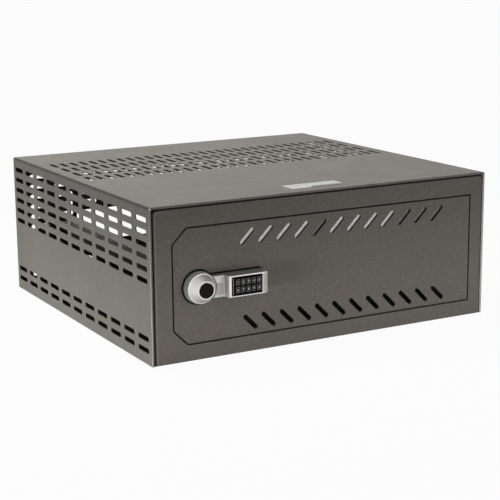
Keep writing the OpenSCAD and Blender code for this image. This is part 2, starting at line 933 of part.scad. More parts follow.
module bolt_guides() {
    guide_back_y = bolt_y + bolt_r + guide_border;
    color(zinc) for (z = bolt_zs) difference() {
        box(
            [guide_l, chassis_back_y, z - guide_h * half],
            [guide_l + guide_w, guide_back_y, z + guide_h * half]
        );
        rod_x(guide_l - past, bolt_y, z, bolt_r + run_fit, guide_w + 2 * past);
    }
}

// Flat bar with an arm over the spindle, forked for the crank pin. The solenoid pin has a notch to drop
// into at each end of the bar's travel.
module bolt_bar() {
    fork_half = crank_pin_r + crank_pin_gap;
    arm_r = sol_x + bolt_throw + notch_half + notch_border;
    color(zinc) front_plate(bar_y, bar_t) difference() {
        union() {
            translate([bar_l, lock_z - bar_z_reach]) square([bar_r - bar_l, 2 * bar_z_reach]);
            translate([bar_l, fork_low_z]) square([arm_r - bar_l, fork_h]);
        }
        translate([fork_x - fork_half, fork_low_z - past])
            square([2 * fork_half, lock_z + crank_r + crank_pin_r + crank_pin_gap - fork_low_z + past]);
        for (x = [sol_x, sol_x + bolt_throw])
            translate([x - notch_half, fork_high_z - notch_deep])
                square([2 * notch_half, notch_deep + past]);
    }
}

module bolts() {
    color(silver) for (z = bolt_zs) rod_x(bolt_tip_x, bolt_y, z, bolt_r, bar_l - bolt_tip_x);
}

module solenoid() {
    color(zinc) difference() {
        box(
            [sol_x - sol_half, chassis_back_y, sol_low_z],
            [sol_x + sol_half, sol_y + sol_half, sol_high_z]
        );
        rod_z(
            sol_x, sol_y, sol_low_z - past,
            sol_pin_r + run_fit, sol_high_z - sol_low_z - sol_roof + past
        );
    }
}

module solenoid_pin() {
    pin_low_z = fork_high_z + sol_pin_gap;
    pin_high_z = sol_high_z - sol_roof - sol_pin_top_gap;
    color(silver) rod_z(sol_x, sol_y, pin_low_z, sol_pin_r, pin_high_z - pin_low_z);
}

module battery_tray() {
    color(black) difference() {
        box(
            [tray_l_x, tray_y, tray_z - tray_h * half],
            [tray_r_x, tray_y + tray_depth, tray_z + tray_h * half]
        );
        box(
            [tray_l_x + tray_wall, tray_y + tray_wall, tray_z - tray_h * half + tray_wall],
            [tray_r_x - tray_wall, tray_y + tray_depth + past, tray_z + tray_h * half - tray_wall]
        );
    }
}

module battery_cells() {
    color(cell_blue) for (i = [0 : cell_count - 1]) rod_x(
        tray_l_x + tray_wall + cell_gap, tray_y + tray_wall + cell_r,
        tray_z + (i - (cell_count - 1) * half) * tray_pitch, cell_r, cell_len
    );
}

// Push button behind the cover for setting the code
module reset_button() {
    color(black)
        rod_y(button_x, cover_back_y - button_deep, button_z, button_r, button_deep + button_proud);
}

// Places of the cover's two screw tabs
tab_starts = [axis_x + tab_from_axis, axis_x + tab_from_axis + tab_pitch];

// Steel cover over the bolt work, with holes for the bolts, the button and the battery window
module lock_cover() {
    through_wall = cover_wall + 2 * past;
    color(coat_front) difference() {
        union() {
            difference() {
                box([cover_l, chassis_back_y, cover_b], [cover_r, cover_back_y, cover_t]);
                box(
                    [cover_l + cover_wall, chassis_back_y - past, cover_b + cover_wall],
                    [cover_r - cover_wall, cover_back_y - cover_wall, cover_t - cover_wall]
                );
            }
            for (x = tab_starts) {
                tab_r = x + 2 * tab_size;
                box([x, plate_back_y, cover_t], [tab_r, plate_back_y + cover_wall, cover_t + tab_size]);
                box([x, plate_back_y, cover_t], [tab_r, chassis_back_y + cover_wall, cover_t + cover_wall]);
            }
        }
        for (z = bolt_zs)
            rod_x(cover_l - past, bolt_y, z, bolt_r + bolt_hole_gap, through_wall);
        for (x = tab_starts)
            rod_y(x + tab_size, plate_back_y - past, tab_screw_z, screw_r + fixed_fit, through_wall);
        rod_y(button_x, cover_back_y - cover_wall - past, button_z, button_r + run_fit, through_wall);
        box(
            [lid_l + lid_border, cover_back_y - cover_wall - past, tray_z - lid_window_h * half],
            [lid_l + lid_border + lid_window_w, cover_back_y + past, tray_z + lid_window_h * half]
        );
    }
}

module battery_lid() {
    color(black) box(
        [lid_l, cover_back_y + lid_gap, tray_z - lid_window_h * half - lid_border],
        [
            lid_l + lid_window_w + 2 * lid_border,
            cover_back_y + lid_gap + lid_t,
            tray_z + lid_window_h * half + lid_border
        ]
    );
}

// Two screws that hold the lock housing from inside
module lock_screws() {
    shank = lock_screw_rise + chassis_back_y - front_y;
    color(zinc) for (z = lock_screw_zs) {
        rod_y(lock_screw_x, front_y - lock_screw_rise, z, screw_r, shank);
        rod_y(lock_screw_x, chassis_back_y, z, screw_head_r, screw_head_t);
    }
}

// Two screws that hold the cover's tabs to the door
module cover_screws() {
    color(zinc) for (x = tab_starts) {
        rod_y(x + tab_size, plate_back_y, tab_screw_z, screw_r, cover_wall);
        rod_y(x + tab_size, plate_back_y + cover_wall, tab_screw_z, tab_screw_head_r, screw_head_t);
    }
}

top_panel();
side_panel_left();
side_panel_right();
base_panel();
back_panel();
cable_edge_trim();
front_hem();
front_frame();
door_stops();
strike_plate();
ledge_left();
ledge_right();
hinge_tabs();
hinge_pins();
hinge_bushes();
door_panel();
slot_baffles();
slot_shield();
lock_gasket();
lock_housing();
keypad_board();
keypad_plate();
key(0);  // key_1
key(1);  // key_2
key(2);  // key_3
key(3);  // key_4
key(4);  // key_5
key(5);  // key_6
key(6);  // key_7
key(7);  // key_8
key(8);  // key_9
key(9);  // key_0
knob();
key_cylinder();
cylinder_core();
knob_cap();
knob_spindle();
crank();
lock_chassis();
bolt_guides();
bolt_bar();
bolts();
solenoid();
solenoid_pin();
battery_tray();
battery_cells();
reset_button();
lock_cover();
battery_lid();
lock_screws();
cover_screws();
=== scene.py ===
"""Looks of the slotted lock box for a video recorder: finishes for the sheet metal, and the detailed
lock, keys, knob, front edge and bare plate. Sizes are in millimetres and are made metres where a mesh
is built. Heights in front of the door face are called rise."""
import json
import math
import bmesh
import bpy
import numpy as np
from mathutils import Matrix


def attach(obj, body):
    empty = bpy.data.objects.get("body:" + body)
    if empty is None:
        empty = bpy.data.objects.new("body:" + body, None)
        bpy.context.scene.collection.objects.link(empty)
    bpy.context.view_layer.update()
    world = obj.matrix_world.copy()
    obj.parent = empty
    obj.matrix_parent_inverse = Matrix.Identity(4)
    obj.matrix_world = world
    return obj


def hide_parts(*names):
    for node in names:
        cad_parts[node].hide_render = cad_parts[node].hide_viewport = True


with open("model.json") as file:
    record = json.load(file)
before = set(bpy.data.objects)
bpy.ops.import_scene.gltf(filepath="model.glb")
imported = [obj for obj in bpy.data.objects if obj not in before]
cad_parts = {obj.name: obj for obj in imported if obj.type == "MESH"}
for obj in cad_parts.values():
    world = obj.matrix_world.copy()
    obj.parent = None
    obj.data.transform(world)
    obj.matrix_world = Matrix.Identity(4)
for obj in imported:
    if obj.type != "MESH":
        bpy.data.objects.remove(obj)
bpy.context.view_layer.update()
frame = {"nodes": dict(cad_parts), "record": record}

MM = 0.001

# Places and sizes that the pieces share with the solids, in millimetres
DOOR_Y = -240.0
KNOB_X = -191.0
KNOB_Z = 94.5
GASKET_RISE = 1.6
FOOT_R = 20.6
FOOT_RISE = 6.4
ARM_RISE = 14.0
KEYPAD_RISE = 23.6
BAR_HALF = 13.75
BEVEL_X = -159.5
FACE_X = -158.9
FACE_END_X = -109.9
BAR_END_X = -100.5
BAR_CORNER_R = 5.0
WINDOW_X = -133.8
WINDOW_W = 44.0
WINDOW_H = 24.4
KEYS_X = -131.8
KEY_PITCH_X = 7.55
KEY_PITCH_Z = 9.9
SLOT_X = -120.2
SLOT_Z = 151.0
SLOT_PITCH = 26.7
BODY_HALF_W = 255.0
BODY_H = 200.0
PLATE_X, PLATE_Y = -1.0, -205.0
PLATE_W, PLATE_D = 81.0, 28.5
PLATE_SPLIT_X, PLATE_SPLIT_Y = -11.0, -211.5

# Numbers that several finishes or modifiers share
NOISE_LOW, NOISE_HIGH = 0.3, 0.7
LACQUER_IOR = 1.45
FULL_TURN = 2.0 * math.pi
MEETING_DISTANCE = 1e-6
SHARP_EDGE = math.radians(30)
CONVEX_EDGE = math.radians(40)
BEVEL_STEPS = 3
AREA_WEIGHT = 100


# Building surfaces
class Surface:
    """Collects grids of points, in millimetres, into one mesh in metres."""

    def __init__(self):
        self.points = []
        self.quads = []
        self.paint = []
        self.count = 0

    def grid(self, points, wrap_u=False, wrap_v=False, paint=0, keep=None):
        """Adds a grid of shape (u, v, 3), a quad between each four neighbours; keep is a mask of quads."""
        points = np.asarray(points, float)
        nu, nv = points.shape[:2]
        index = np.arange(nu * nv).reshape(nu, nv) + self.count
        if wrap_u:
            index = np.vstack([index, index[:1]])
        if wrap_v:
            index = np.hstack([index, index[:, :1]])
        quads = np.stack([index[:-1, :-1], index[1:, :-1], index[1:, 1:], index[:-1, 1:]], -1)
        marks = np.broadcast_to(np.asarray(paint, int), quads.shape[:2])
        if keep is not None:
            quads, marks = quads[keep], marks[keep]
        self.points.append(points.reshape(-1, 3))
        self.quads.append(quads.reshape(-1, 4))
        self.paint.append(np.asarray(marks).reshape(-1))
        self.count += nu * nv

    def faces(self, points, quads, paint=0):
        """Adds loose quads or triangles (a triangle repeats its last corner)."""
        self.points.append(np.asarray(points, float).reshape(-1, 3))
        quads = np.asarray(quads, int).reshape(-1, 4)
        self.quads.append(quads + self.count)
        self.paint.append(np.full(len(quads), paint))
        self.count += len(self.points[-1])

    def piece(self, name, body, materials, replaces=(), smooth_angle=35.0):
        """Makes the mesh: joins points that meet, drops empty faces, turns the faces outwards."""
        points = np.vstack(self.points)
        quads = np.vstack(self.quads)
        marks = np.concatenate(self.paint)
        keys, inverse = np.unique(np.round(points / 1e-3).astype(np.int64), axis=0, return_inverse=True)
        inverse = inverse.reshape(-1)
        merged = np.zeros((len(keys), 3))
        merged[inverse] = points
        quads = inverse[quads]
        loops, starts, totals, kept = [], [], [], []
        for quad, mark in zip(quads.tolist(), marks.tolist()):
            ring = [p for i, p in enumerate(quad) if p != quad[i - 1]]
            if len(set(ring)) < 3:
                continue
            starts.append(len(loops))
            totals.append(len(ring))
            loops.extend(ring)
            kept.append(mark)
        mesh = bpy.data.meshes.new(name)
        mesh.vertices.add(len(merged))
        mesh.vertices.foreach_set("co", (merged * MM).astype(np.float32).reshape(-1))
        mesh.loops.add(len(loops))
        mesh.loops.foreach_set("vertex_index", np.array(loops, np.int32))
        mesh.polygons.add(len(starts))
        mesh.polygons.foreach_set("loop_start", np.array(starts, np.int32))
        mesh.polygons.foreach_set("loop_total", np.array(totals, np.int32))
        mesh.polygons.foreach_set("material_index", np.array(kept, np.int32))
        mesh.update(calc_edges=True)
        mesh.validate()
        form = bmesh.new()
        form.from_mesh(mesh)
        bmesh.ops.recalc_face_normals(form, faces=form.faces)
        form.to_mesh(mesh)
        form.free()
        mesh.shade_smooth()
        mesh.set_sharp_from_angle(angle=math.radians(smooth_angle))
        for material in materials:
            mesh.materials.append(material)
        obj = bpy.data.objects.new(name, mesh)
        bpy.context.scene.collection.objects.link(obj)
        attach(obj, body)
        if replaces:
            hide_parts(*replaces)


def rounded(profile, radii, steps=5):
    """Rounds the corners of an open profile: each inner corner becomes a curve from one tangent point to the
    other, the quadratic (1-t)^2 A + 2t(1-t) C + t^2 B about the corner C."""
    profile = np.asarray(profile, float)
    out = [profile[0]]
    for i in range(1, len(profile) - 1):
        before, corner, after = profile[i - 1], profile[i], profile[i + 1]
        reach = radii[i] if np.ndim(radii) else radii
        back = min(reach, 0.45 * np.linalg.norm(before - corner))
        ahead = min(reach, 0.45 * np.linalg.norm(after - corner))
        start = corner + (before - corner) / np.linalg.norm(before - corner) * back
        end = corner + (after - corner) / np.linalg.norm(after - corner) * ahead
        t = np.linspace(0, 1, steps)[:, None]
        out.extend((1 - t) ** 2 * start + 2 * t * (1 - t) * corner + t ** 2 * end)
    out.append(profile[-1])
    return np.array(out)


def turned(profile, steps):
    """A profile of (radius, rise) turned about the knob axis: x + r sin a, door face - rise, z + r cos a."""
    profile = np.asarray(profile, float)
    a = np.linspace(0, 2 * np.pi, steps, endpoint=False)[None, :]
    r, rise = profile[:, :1], profile[:, 1:]
    y = np.broadcast_to(DOOR_Y - rise, (len(profile), steps))
    return np.stack([KNOB_X + r * np.sin(a), y, KNOB_Z + r * np.cos(a)], -1)


def rounded_outline(half_w, half_h, corner, steps=8):
    """Closed outline of a rectangle with round corners: four quarter circles about the corner centres."""
    angles = np.concatenate([np.linspace(q, q + np.pi / 2, steps) for q in np.arange(4) * np.pi / 2])
    across = np.repeat([1, -1, -1, 1], steps) * (half_w - corner) + corner * np.cos(angles)
    along = np.repeat([1, 1, -1, -1], steps) * (half_h - corner) + corner * np.sin(angles)
    return np.stack([across, along], -1)


def closed(rows):
    """Rows of points as one grid, with the middle of the first and last row added to close both ends."""
    ends = [np.tile(row.mean(0), (len(row), 1)) for row in (rows[0], rows[-1])]
    return np.array([ends[0], *rows, ends[1]])


def smooth_step(value, low, high):
    """0 below low, 1 above high, and 3t^2 - 2t^3 between."""
    t = np.clip((value - low) / (high - low), 0, 1)
    return t * t * (3 - 2 * t)


# Finishes
class Finish:
    """A node material on Object coordinates, with helpers that add one node each."""

    def __init__(self, name):
        self.material = bpy.data.materials.new(name)
        self.material.use_nodes = True
        self.tree = self.material.node_tree
        self.shader = self.tree.nodes["Principled BSDF"]
        self.place = self.tree.nodes.new("ShaderNodeTexCoord").outputs["Object"]

    def node(self, kind, inputs=None, **settings):
        made = self.tree.nodes.new(kind)
        for key, value in settings.items():
            setattr(made, key, value)
        for key, value in (inputs or {}).items():
            if isinstance(value, bpy.types.NodeSocket):
                self.tree.links.new(value, made.inputs[key])
            else:
                made.inputs[key].default_value = value
        return made

    def noise(self, scale, detail=2.0, rough=0.5, vector=None):
        return self.node(
            "ShaderNodeTexNoise",
            {"Vector": vector or self.place, "Scale": scale, "Detail": detail, "Roughness": rough},
        ).outputs["Fac"]

    def cells(self, scale):
        return self.node("ShaderNodeTexVoronoi", {"Vector": self.place, "Scale": scale}).outputs["Distance"]

    def stretched(self, scale):
        return self.node("ShaderNodeMapping", {"Vector": self.place, "Scale": scale}).outputs["Vector"]

    def span(self, value, low, high, to_low, to_high):
        return self.node(
            "ShaderNodeMapRange",
            {"Value": value, "From Min": low, "From Max": high, "To Min": to_low, "To Max": to_high},
        ).outputs["Result"]

    def swing(self, noise, to_low, to_high):
        """Takes the usual range of a noise to another range."""
        return self.span(noise, NOISE_LOW, NOISE_HIGH, to_low, to_high)

    def math(self, operation, a, b=0.0):
        return self.node("ShaderNodeMath", {0: a, 1: b}, operation=operation).outputs[0]

    def times(self, a, b):
        return self.math("MULTIPLY", a, b)

    def parts(self):
        """The x, y and z of a point."""
        return self.node("ShaderNodeSeparateXYZ", {0: self.place}).outputs

    def mix(self, factor, a, b):
        made = self.tree.nodes.new("ShaderNodeMix")
        made.data_type = "RGBA"
        for socket, value in ((made.inputs[0], factor), (made.inputs[6], a), (made.inputs[7], b)):
            if isinstance(value, bpy.types.NodeSocket):
                self.tree.links.new(value, socket)
            elif isinstance(value, (tuple, list)):
                socket.default_value = (*value, 1.0)
            else:
                socket.default_value = value
        return made.outputs[2]

    def tinted(self, colour, tone):
        """The colour times the tone."""
        return self.node("ShaderNodeVectorMath", {0: colour, 3: tone}, operation="SCALE").outputs[0]

    def bump(self, height, strength, distance, normal=None):
        inputs = {"Height": height, "Strength": strength, "Distance": distance}
        if normal is not None:
            inputs["Normal"] = normal
        return self.node("ShaderNodeBump", inputs).outputs["Normal"]

    def finish(self, colour, rough, normal, metallic=0.0, specular=0.5):
        """Sets the shader: linked colour, roughness and normal, and plain numbers on its own sockets."""
        sockets = self.shader.inputs
        for name, value in (("Base Color", colour), ("Roughness", rough), ("Normal", normal)):
            if isinstance(value, bpy.types.NodeSocket):
                self.tree.links.new(value, sockets[name])
            elif isinstance(value, (int, float)):
                sockets[name].default_value = value
        sockets["Metallic"].default_value = metallic
        sockets["IOR"].default_value = LACQUER_IOR
        sockets["Specular IOR Level"].default_value = specular
        return self.material


def powder_coat(name, colour, worn, rough=0.56, inside=1.0, rim=False, specular=0.32, slot_shadows=False):
    """Fine textured paint: grain bump and speckle, slow tone drift, and rubbed cabinet edges. inside is the
    tone of the faces within the cabinet, a painted shade, and it paints shade on the bends too; rim adds a
    painted shade and a painted highlight along the front plate's rounded left edge and painted shade on its
    cut walls, and the last flag a painted shadow along each slot of the door."""
    f = Finish(name)
    grain = f.noise(640.0, 3.0, 0.6)
    speckle = f.noise(2600.0, 1.0, 0.5)
    drift = f.noise(5.0, 3.0, 0.55)
    smudge = f.noise(38.0, 4.0, 0.65)
    tone = f.swing(drift, 0.95, 1.05)
    tone = f.times(tone, f.swing(grain, 0.76, 1.24))
    tone = f.times(tone, f.swing(speckle, 0.9, 1.12))
    if inside < 1.0:
        # Painted shade: faces inside the cabinet are painted darker.
        tone = f.times(tone, f.span(inner_shade_mask(f), 0.0, 1.0, 1.0, inside))
        # Painted shade along the shell's bends.
        tone = f.times(tone, f.span(bend_shade_mask(f), 0.0, 1.0, 1.0, 0.62))
    if rim:
        # Painted shade and a painted highlight along the front plate's rounded left edge.
        tone = f.times(tone, plate_rim_shade_and_highlight(f))
        # Painted shade on the edges and walls of the cuts, down to 0.12 of the tone.
        tone = f.times(tone, f.span(cut_wall_shade_mask(f), 0.0, 1.0, 1.0, 0.12))
    # Painted shadow along the lower right edge of each upper door slot.
    if slot_shadows:
        tone = f.times(tone, slot_shadow_tone(f))
    base = f.tinted(colour, tone)
    edges = edge_mask(f)
    rub = f.times(edges, f.span(f.noise(160.0, 4.0, 0.7), 0.5, 0.72, 0.0, 0.5))
    base = f.mix(rub, base, worn)
    roughness = f.swing(smudge, rough - 0.05, rough + 0.07)
    normal = f.bump(grain, 0.35, 0.00012)
    normal = f.bump(f.noise(420.0, 2.0, 0.5), 0.16, 0.0003, normal)
    return f.finish(base, roughness, normal, specular=specular)


def edge_mask(f):
    """1 within about a millimetre of an edge of the cabinet's box, where two of the three faces are near."""
    part = f.parts()

    def near(distance, face):
        return f.span(distance, (face - 1.5) * MM, (face + 0.2) * MM, 0.0, 1.0)

    x = near(f.math("ABSOLUTE", part[0]), BODY_HALF_W)
    y = near(f.math("ABSOLUTE", part[1]), -DOOR_Y)
    z = near(f.math("ABSOLUTE", f.math("SUBTRACT", part[2], BODY_H / 2 * MM)), BODY_H / 2)
    pairs = [f.times(x, y), f.times(y, z), f.times(x, z)]
    return f.math("MAXIMUM", f.math("MAXIMUM", pairs[0], pairs[1]), pairs[2])


def inner_shade_mask(f):
    """1 on points that lie behind the outer faces of the cabinet's box, 0 on those faces: where shade is
    painted.
    """
    part = f.parts()

    def behind(distance, face):
        return f.span(distance, (face - 0.18) * MM, (face - 0.04) * MM, 1.0, 0.0)

    x = behind(f.math("ABSOLUTE", part[0]), BODY_HALF_W)
    y = behind(f.math("ABSOLUTE", part[1]), -DOOR_Y)
    z = behind(part[2], BODY_H)
    return f.times(f.times(x, y), z)


def bend_shade_mask(f):
    """1 on the bends of the shell, where shade is painted: the two long ones, from 3.5 mm in at the side and
    4.5 mm below the top, and the small one along the front of the top, within 0.9 mm of both faces."""
    part = f.parts()
    side = f.math("SUBTRACT", f.math("ABSOLUTE", part[0]), (BODY_HALF_W - 3.5) * MM)
    side = f.math("MINIMUM", side, f.math("SUBTRACT", part[2], (BODY_H - 4.5) * MM))
    front = f.math("SUBTRACT", f.times(part[1], -1.0), (-DOOR_Y - 0.9) * MM)
    front = f.math("MINIMUM", front, f.math("SUBTRACT", part[2], (BODY_H - 0.9) * MM))
    return f.math("MAXIMUM", f.span(side, 0.0, 1.2 * MM, 0.0, 1.0), f.span(front, 0.0, 0.4 * MM, 0.0, 1.0))


def slot_shadow_tone(f):
    """Painted shadow on a plate behind the upper slots, which lean 45 degrees: dark along the lower right
    edge of each slot, but not on the plate's back. u = ((x - x0) - (z - z0)) / sqrt 2, taken to the nearest
    slot, is the distance from a slot's middle line."""
    part = f.parts()
    along = f.math("SUBTRACT", f.math("SUBTRACT", part[0], part[2]), (SLOT_X - SLOT_Z) * MM)
    turns = f.math("DIVIDE", along, SLOT_PITCH * MM)
    nearest = f.math("SUBTRACT", turns, f.math("ROUND", turns))
    across = f.times(nearest, SLOT_PITCH / math.sqrt(2))
    front = f.span(part[1], (DOOR_Y + 2.8) * MM, (DOOR_Y + 3.0) * MM, 1.0, 0.0)
    return f.span(f.times(f.span(across, 1.2, 1.6, 0.0, 1.0), front), 0.0, 1.0, 1.0, 0.06)


def cut_wall_shade_mask(f):
    """1 on the edges and walls of cuts in the front sheet, from 0.1 to 1.4 mm behind its face: painted shade.
    """
    depth = f.math("ADD", f.parts()[1], -DOOR_Y * MM)
    return f.times(f.span(depth, 0.03 * MM, 0.2 * MM, 0.0, 1.0), f.span(depth, 1.3 * MM, 1.5 * MM, 1.0, 0.0))


def plate_rim_shade_and_highlight(f):
    """Painted shade and highlight by the distance d from the left and upper edge of the front plate, whose
    corner
    has the radius R: d = R - length of (max(R - dx, 0), max(R - dz, 0)). Near the plate's left end it is
    painted shade below 1.5 mm and a painted highlight from 2.1 to 3.6 mm, and elsewhere plain."""
    radius = 7.0 * MM
    part = f.parts()
    plate_left, plate_top = (4.5 - BODY_HALF_W) * MM, (BODY_H - 4.5) * MM
    from_left = f.math("MAXIMUM", f.math("SUBTRACT", radius + plate_left, part[0]), 0.0)
    from_top = f.math("MAXIMUM", f.math("ADD", part[2], radius - plate_top), 0.0)
    squares = f.math("ADD", f.times(from_left, from_left), f.times(from_top, from_top))
    distance = f.math("SUBTRACT", radius, f.math("SQRT", squares))
    near_left = f.span(part[0], -240.0 * MM, -230.0 * MM, 1.0, 0.0)
    dark = f.times(f.span(distance, 1.2 * MM, 1.8 * MM, 0.35, 0.0), near_left)
    rising = f.span(distance, 1.8 * MM, 2.4 * MM, 0.0, 1.0)
    pale = f.times(rising, f.span(distance, 3.2 * MM, 4.0 * MM, 0.5, 0.0))
    pale = f.times(pale, near_left)
    return f.math("ADD", f.math("SUBTRACT", 1.0, dark), pale)


def from_knob_axis(f):
    """How far a point lies right of the knob axis and above it."""
    part = f.parts()
    return f.math("SUBTRACT", part[0], KNOB_X * MM), f.math("SUBTRACT", part[2], KNOB_Z * MM)


def knob_angle(f):
    """Angle of a point about the knob axis."""
    return f.math("ARCTAN2", *from_knob_axis(f))


def knob_radius(f):
    """Distance of a point from the knob axis."""
    dx, dz = from_knob_axis(f)
    return f.math("SQRT", f.math("ADD", f.times(dx, dx), f.times(dz, dz)))


def satin_silver(name, colour, rough=0.36, metallic=0.2, ribs=0, spun_and_sheen=0.0):
    """Silver lacquer on cast metal: fine flake speckle, cloudy tone, faint orange peel and small scuffs.
    With ribs, that many fine flutes run round the knob axis, with painted shade in each flute. The sheen
    share adds fine rings round the axis and a painted sheen: two opposite sectors are painted darker by that
    share, and the two between paler by 0.3 of it."""
    f = Finish(name)
    flake = f.cells(3800.0)
    cloud = f.noise(55.0, 4.0, 0.6)
    peel = f.noise(700.0, 2.0, 0.5)
    scuff = f.span(f.noise(240.0, 5.0, 0.75, f.stretched((1.0, 1.0, 5.0))), 0.62, 0.72, 0.0, 1.0)
    tone = f.times(f.swing(cloud, 0.93, 1.04), f.span(flake, 0.0, 0.7, 0.95, 1.05))
    base = f.mix(f.times(scuff, 0.25), f.tinted(colour, tone), (0.36, 0.355, 0.345))
    roughness = f.math("ADD", f.swing(cloud, rough - 0.04, rough + 0.06), f.times(scuff, 0.12))
    normal = f.bump(peel, 0.12, 0.0002, f.bump(flake, 0.08, 0.00005))
    if ribs:
        # Painted shade in the flutes: the colour darkens between the ribs.
        flute = f.math("SINE", f.times(knob_angle(f), float(ribs)))
        base = f.tinted(base, f.span(flute, -1.0, 1.0, 0.62, 1.08))
        normal = f.bump(flute, 0.5, 0.0003, normal)
    if spun_and_sheen:
        # Painted sheen: two opposite sectors about the knob axis painted darker, the two between paler.
        sector = f.math("COSINE", f.times(f.math("ADD", knob_angle(f), math.radians(62.0)), 2.0))
        grooves = f.math("SINE", f.times(knob_radius(f), FULL_TURN / (0.4 * MM)))
        base = f.tinted(base, f.span(sector, -1.0, 1.0, 1.0 - spun_and_sheen, 1.0 + 0.3 * spun_and_sheen))
        normal = f.bump(grooves, 0.06, 0.00004, normal)
    return f.finish(base, roughness, normal, metallic=metallic, specular=0.4)


def zinc_plate(name, colour, rough=0.38, metallic=0.85, spot=90.0, dull=0.4, slot_shadows=False):
    """Zinc plated or ground steel: crystal patches, drawn lines along the sheet and dull spots. spot is the
    scale of the spots and dull is how strong they are; the last flag adds a painted shadow along each slot."""
    f = Finish(name)
    patches = f.node("ShaderNodeTexVoronoi", {"Vector": f.place, "Scale": 260.0}).outputs["Color"]
    patch = f.node("ShaderNodeSeparateColor", {"Color": patches}).outputs[0]
    lines = f.noise(160.0, 3.0, 0.6, f.stretched((0.12, 1.0, 9.0)))
    spots = f.noise(spot, 4.0, 0.7)
    tone = f.times(f.span(patch, 0.0, 1.0, 0.9, 1.06), f.swing(lines, 0.94, 1.05))
    base = f.mix(f.span(spots, 0.5, 0.7, 0.0, dull), f.tinted(colour, tone), tuple(0.5 * c for c in colour))
    # Painted shadow along the lower right edge of each upper door slot.
    if slot_shadows:
        base = f.tinted(base, slot_shadow_tone(f))
    roughness = f.swing(lines, rough - 0.08, rough + 0.1)
    return f.finish(base, roughness, f.bump(lines, 0.15, 0.0001), metallic=metallic)


def ledge_plate(name, pale, dark):
    """Angle bracket: a pale zinc top, painted paler for the light that falls on it, over a leg painted near
    black as painted shade; both with drawn lines and dull spots.
    """
    f = Finish(name)
    part = f.parts()
    lines = f.noise(160.0, 3.0, 0.6, f.stretched((1.0, 0.12, 9.0)))
    spots = f.noise(90.0, 4.0, 0.7)
    # Painted light on the top and painted shade on the leg below 130 mm.
    upper = f.span(part[2], 130.0 * MM, 130.4 * MM, 0.0, 1.0)
    tone = f.times(f.swing(lines, 0.92, 1.06), f.span(spots, 0.4, 0.75, 1.04, 0.86))
    base = f.tinted(f.mix(upper, dark, pale), tone)
    return f.finish(base, f.swing(lines, 0.45, 0.6), f.bump(lines, 0.15, 0.0001), metallic=0.1, specular=0.3)


def moulded_plastic(name, colour, rough=0.5, mottle=1.0, specular=0.45):
    """Moulded plastic or rubber: spark-eroded grain, pale dust in patches and a slow tone drift."""
    f = Finish(name)
    grain = f.noise(1500.0, 3.0, 0.6)
    drift = f.noise(60.0, 3.0, 0.6)
    dust = f.span(f.noise(420.0, 5.0, 0.75), 0.55, 0.8, 0.0, 0.12 * mottle)
    base = f.mix(dust, f.tinted(colour, f.swing(drift, 0.8, 1.25)), (0.16, 0.155, 0.145))
    roughness = f.swing(grain, rough - 0.07, rough + 0.1)
    return f.finish(base, roughness, f.bump(grain, 0.25, 0.00008), specular=specular)


def glossy_panel(name, colour):
    """Black window of the keypad: polished plastic with hair scratches and faint cloudiness."""
    f = Finish(name)
    cloud = f.noise(120.0, 3.0, 0.6)
    hair = f.span(f.noise(300.0, 4.0, 0.8, f.stretched((1.0, 1.0, 14.0))), 0.64, 0.7, 0.0, 1.0)
    base = f.mix(f.times(hair, 0.08), f.tinted(colour, f.swing(cloud, 0.8, 1.3)), (0.3, 0.3, 0.29))
    roughness = f.math("ADD", f.swing(cloud, 0.2, 0.3), f.times(hair, 0.2))
    return f.finish(base, roughness, f.bump(cloud, 0.05, 0.0002), specular=0.05)


def printed(name, colour, rough=0.55):
    """Printed marks: ink with a thin spot here and there."""
    f = Finish(name)
    thin = f.noise(1800.0, 3.0, 0.7)
    tone = f.swing(thin, 0.82, 1.08)
    base = f.tinted(colour, tone)
    return f.finish(base, f.swing(thin, rough - 0.05, rough + 0.1), f.bump(thin, 0.1, 0.00003))


def machined_brass(name, colour):
    """Turned brass: fine rings about the knob axis, tarnish in patches."""
    f = Finish(name)
    rings = f.math("SINE", f.times(knob_radius(f), FULL_TURN / (0.22 * MM)))
    tarnish = f.noise(130.0, 4.0, 0.7)
    tone = f.times(f.span(rings, -1.0, 1.0, 0.94, 1.05), f.swing(tarnish, 0.8, 1.08))
    return f.finish(
        f.tinted(colour, tone), f.swing(tarnish, 0.24, 0.42), f.bump(rings, 0.12, 0.00003), metallic=1.0
    )


def circuit_board(name, colour):
    """Solder mask with straight tracks under it, in broken lengths."""
    f = Finish(name)
    part = f.parts()
    tracks = f.math("SINE", f.times(part[0], FULL_TURN / (2.1 * MM)))
    bands = f.noise(700.0, 1.0, 0.5, f.stretched((1.0, 1.0, 0.1)))
    track = f.times(f.span(tracks, 0.35, 0.5, 0.0, 1.0), f.span(bands, 0.48, 0.52, 0.0, 1.0))
    base = f.mix(track, colour, tuple(1.8 * c for c in colour))
    return f.finish(base, 0.35, f.bump(track, 0.3, 0.00004), specular=0.5)


def cell_wrap(name, colour):
    """Shrink wrap of the cells: a pale band at one end, small wrinkles and a glossy film."""
    f = Finish(name)
    part = f.parts()
    wrinkle = f.noise(210.0, 4.0, 0.6, f.stretched((0.25, 1.0, 1.0)))
    band = f.span(part[0], -110.5 * MM, -110.0 * MM, 0.0, 1.0)
    base = f.mix(band, f.tinted(colour, f.swing(wrinkle, 0.85, 1.12)), (0.62, 0.61, 0.58))
    return f.finish(base, f.swing(wrinkle, 0.25, 0.38), f.bump(wrinkle, 0.2, 0.0001), specular=0.5)


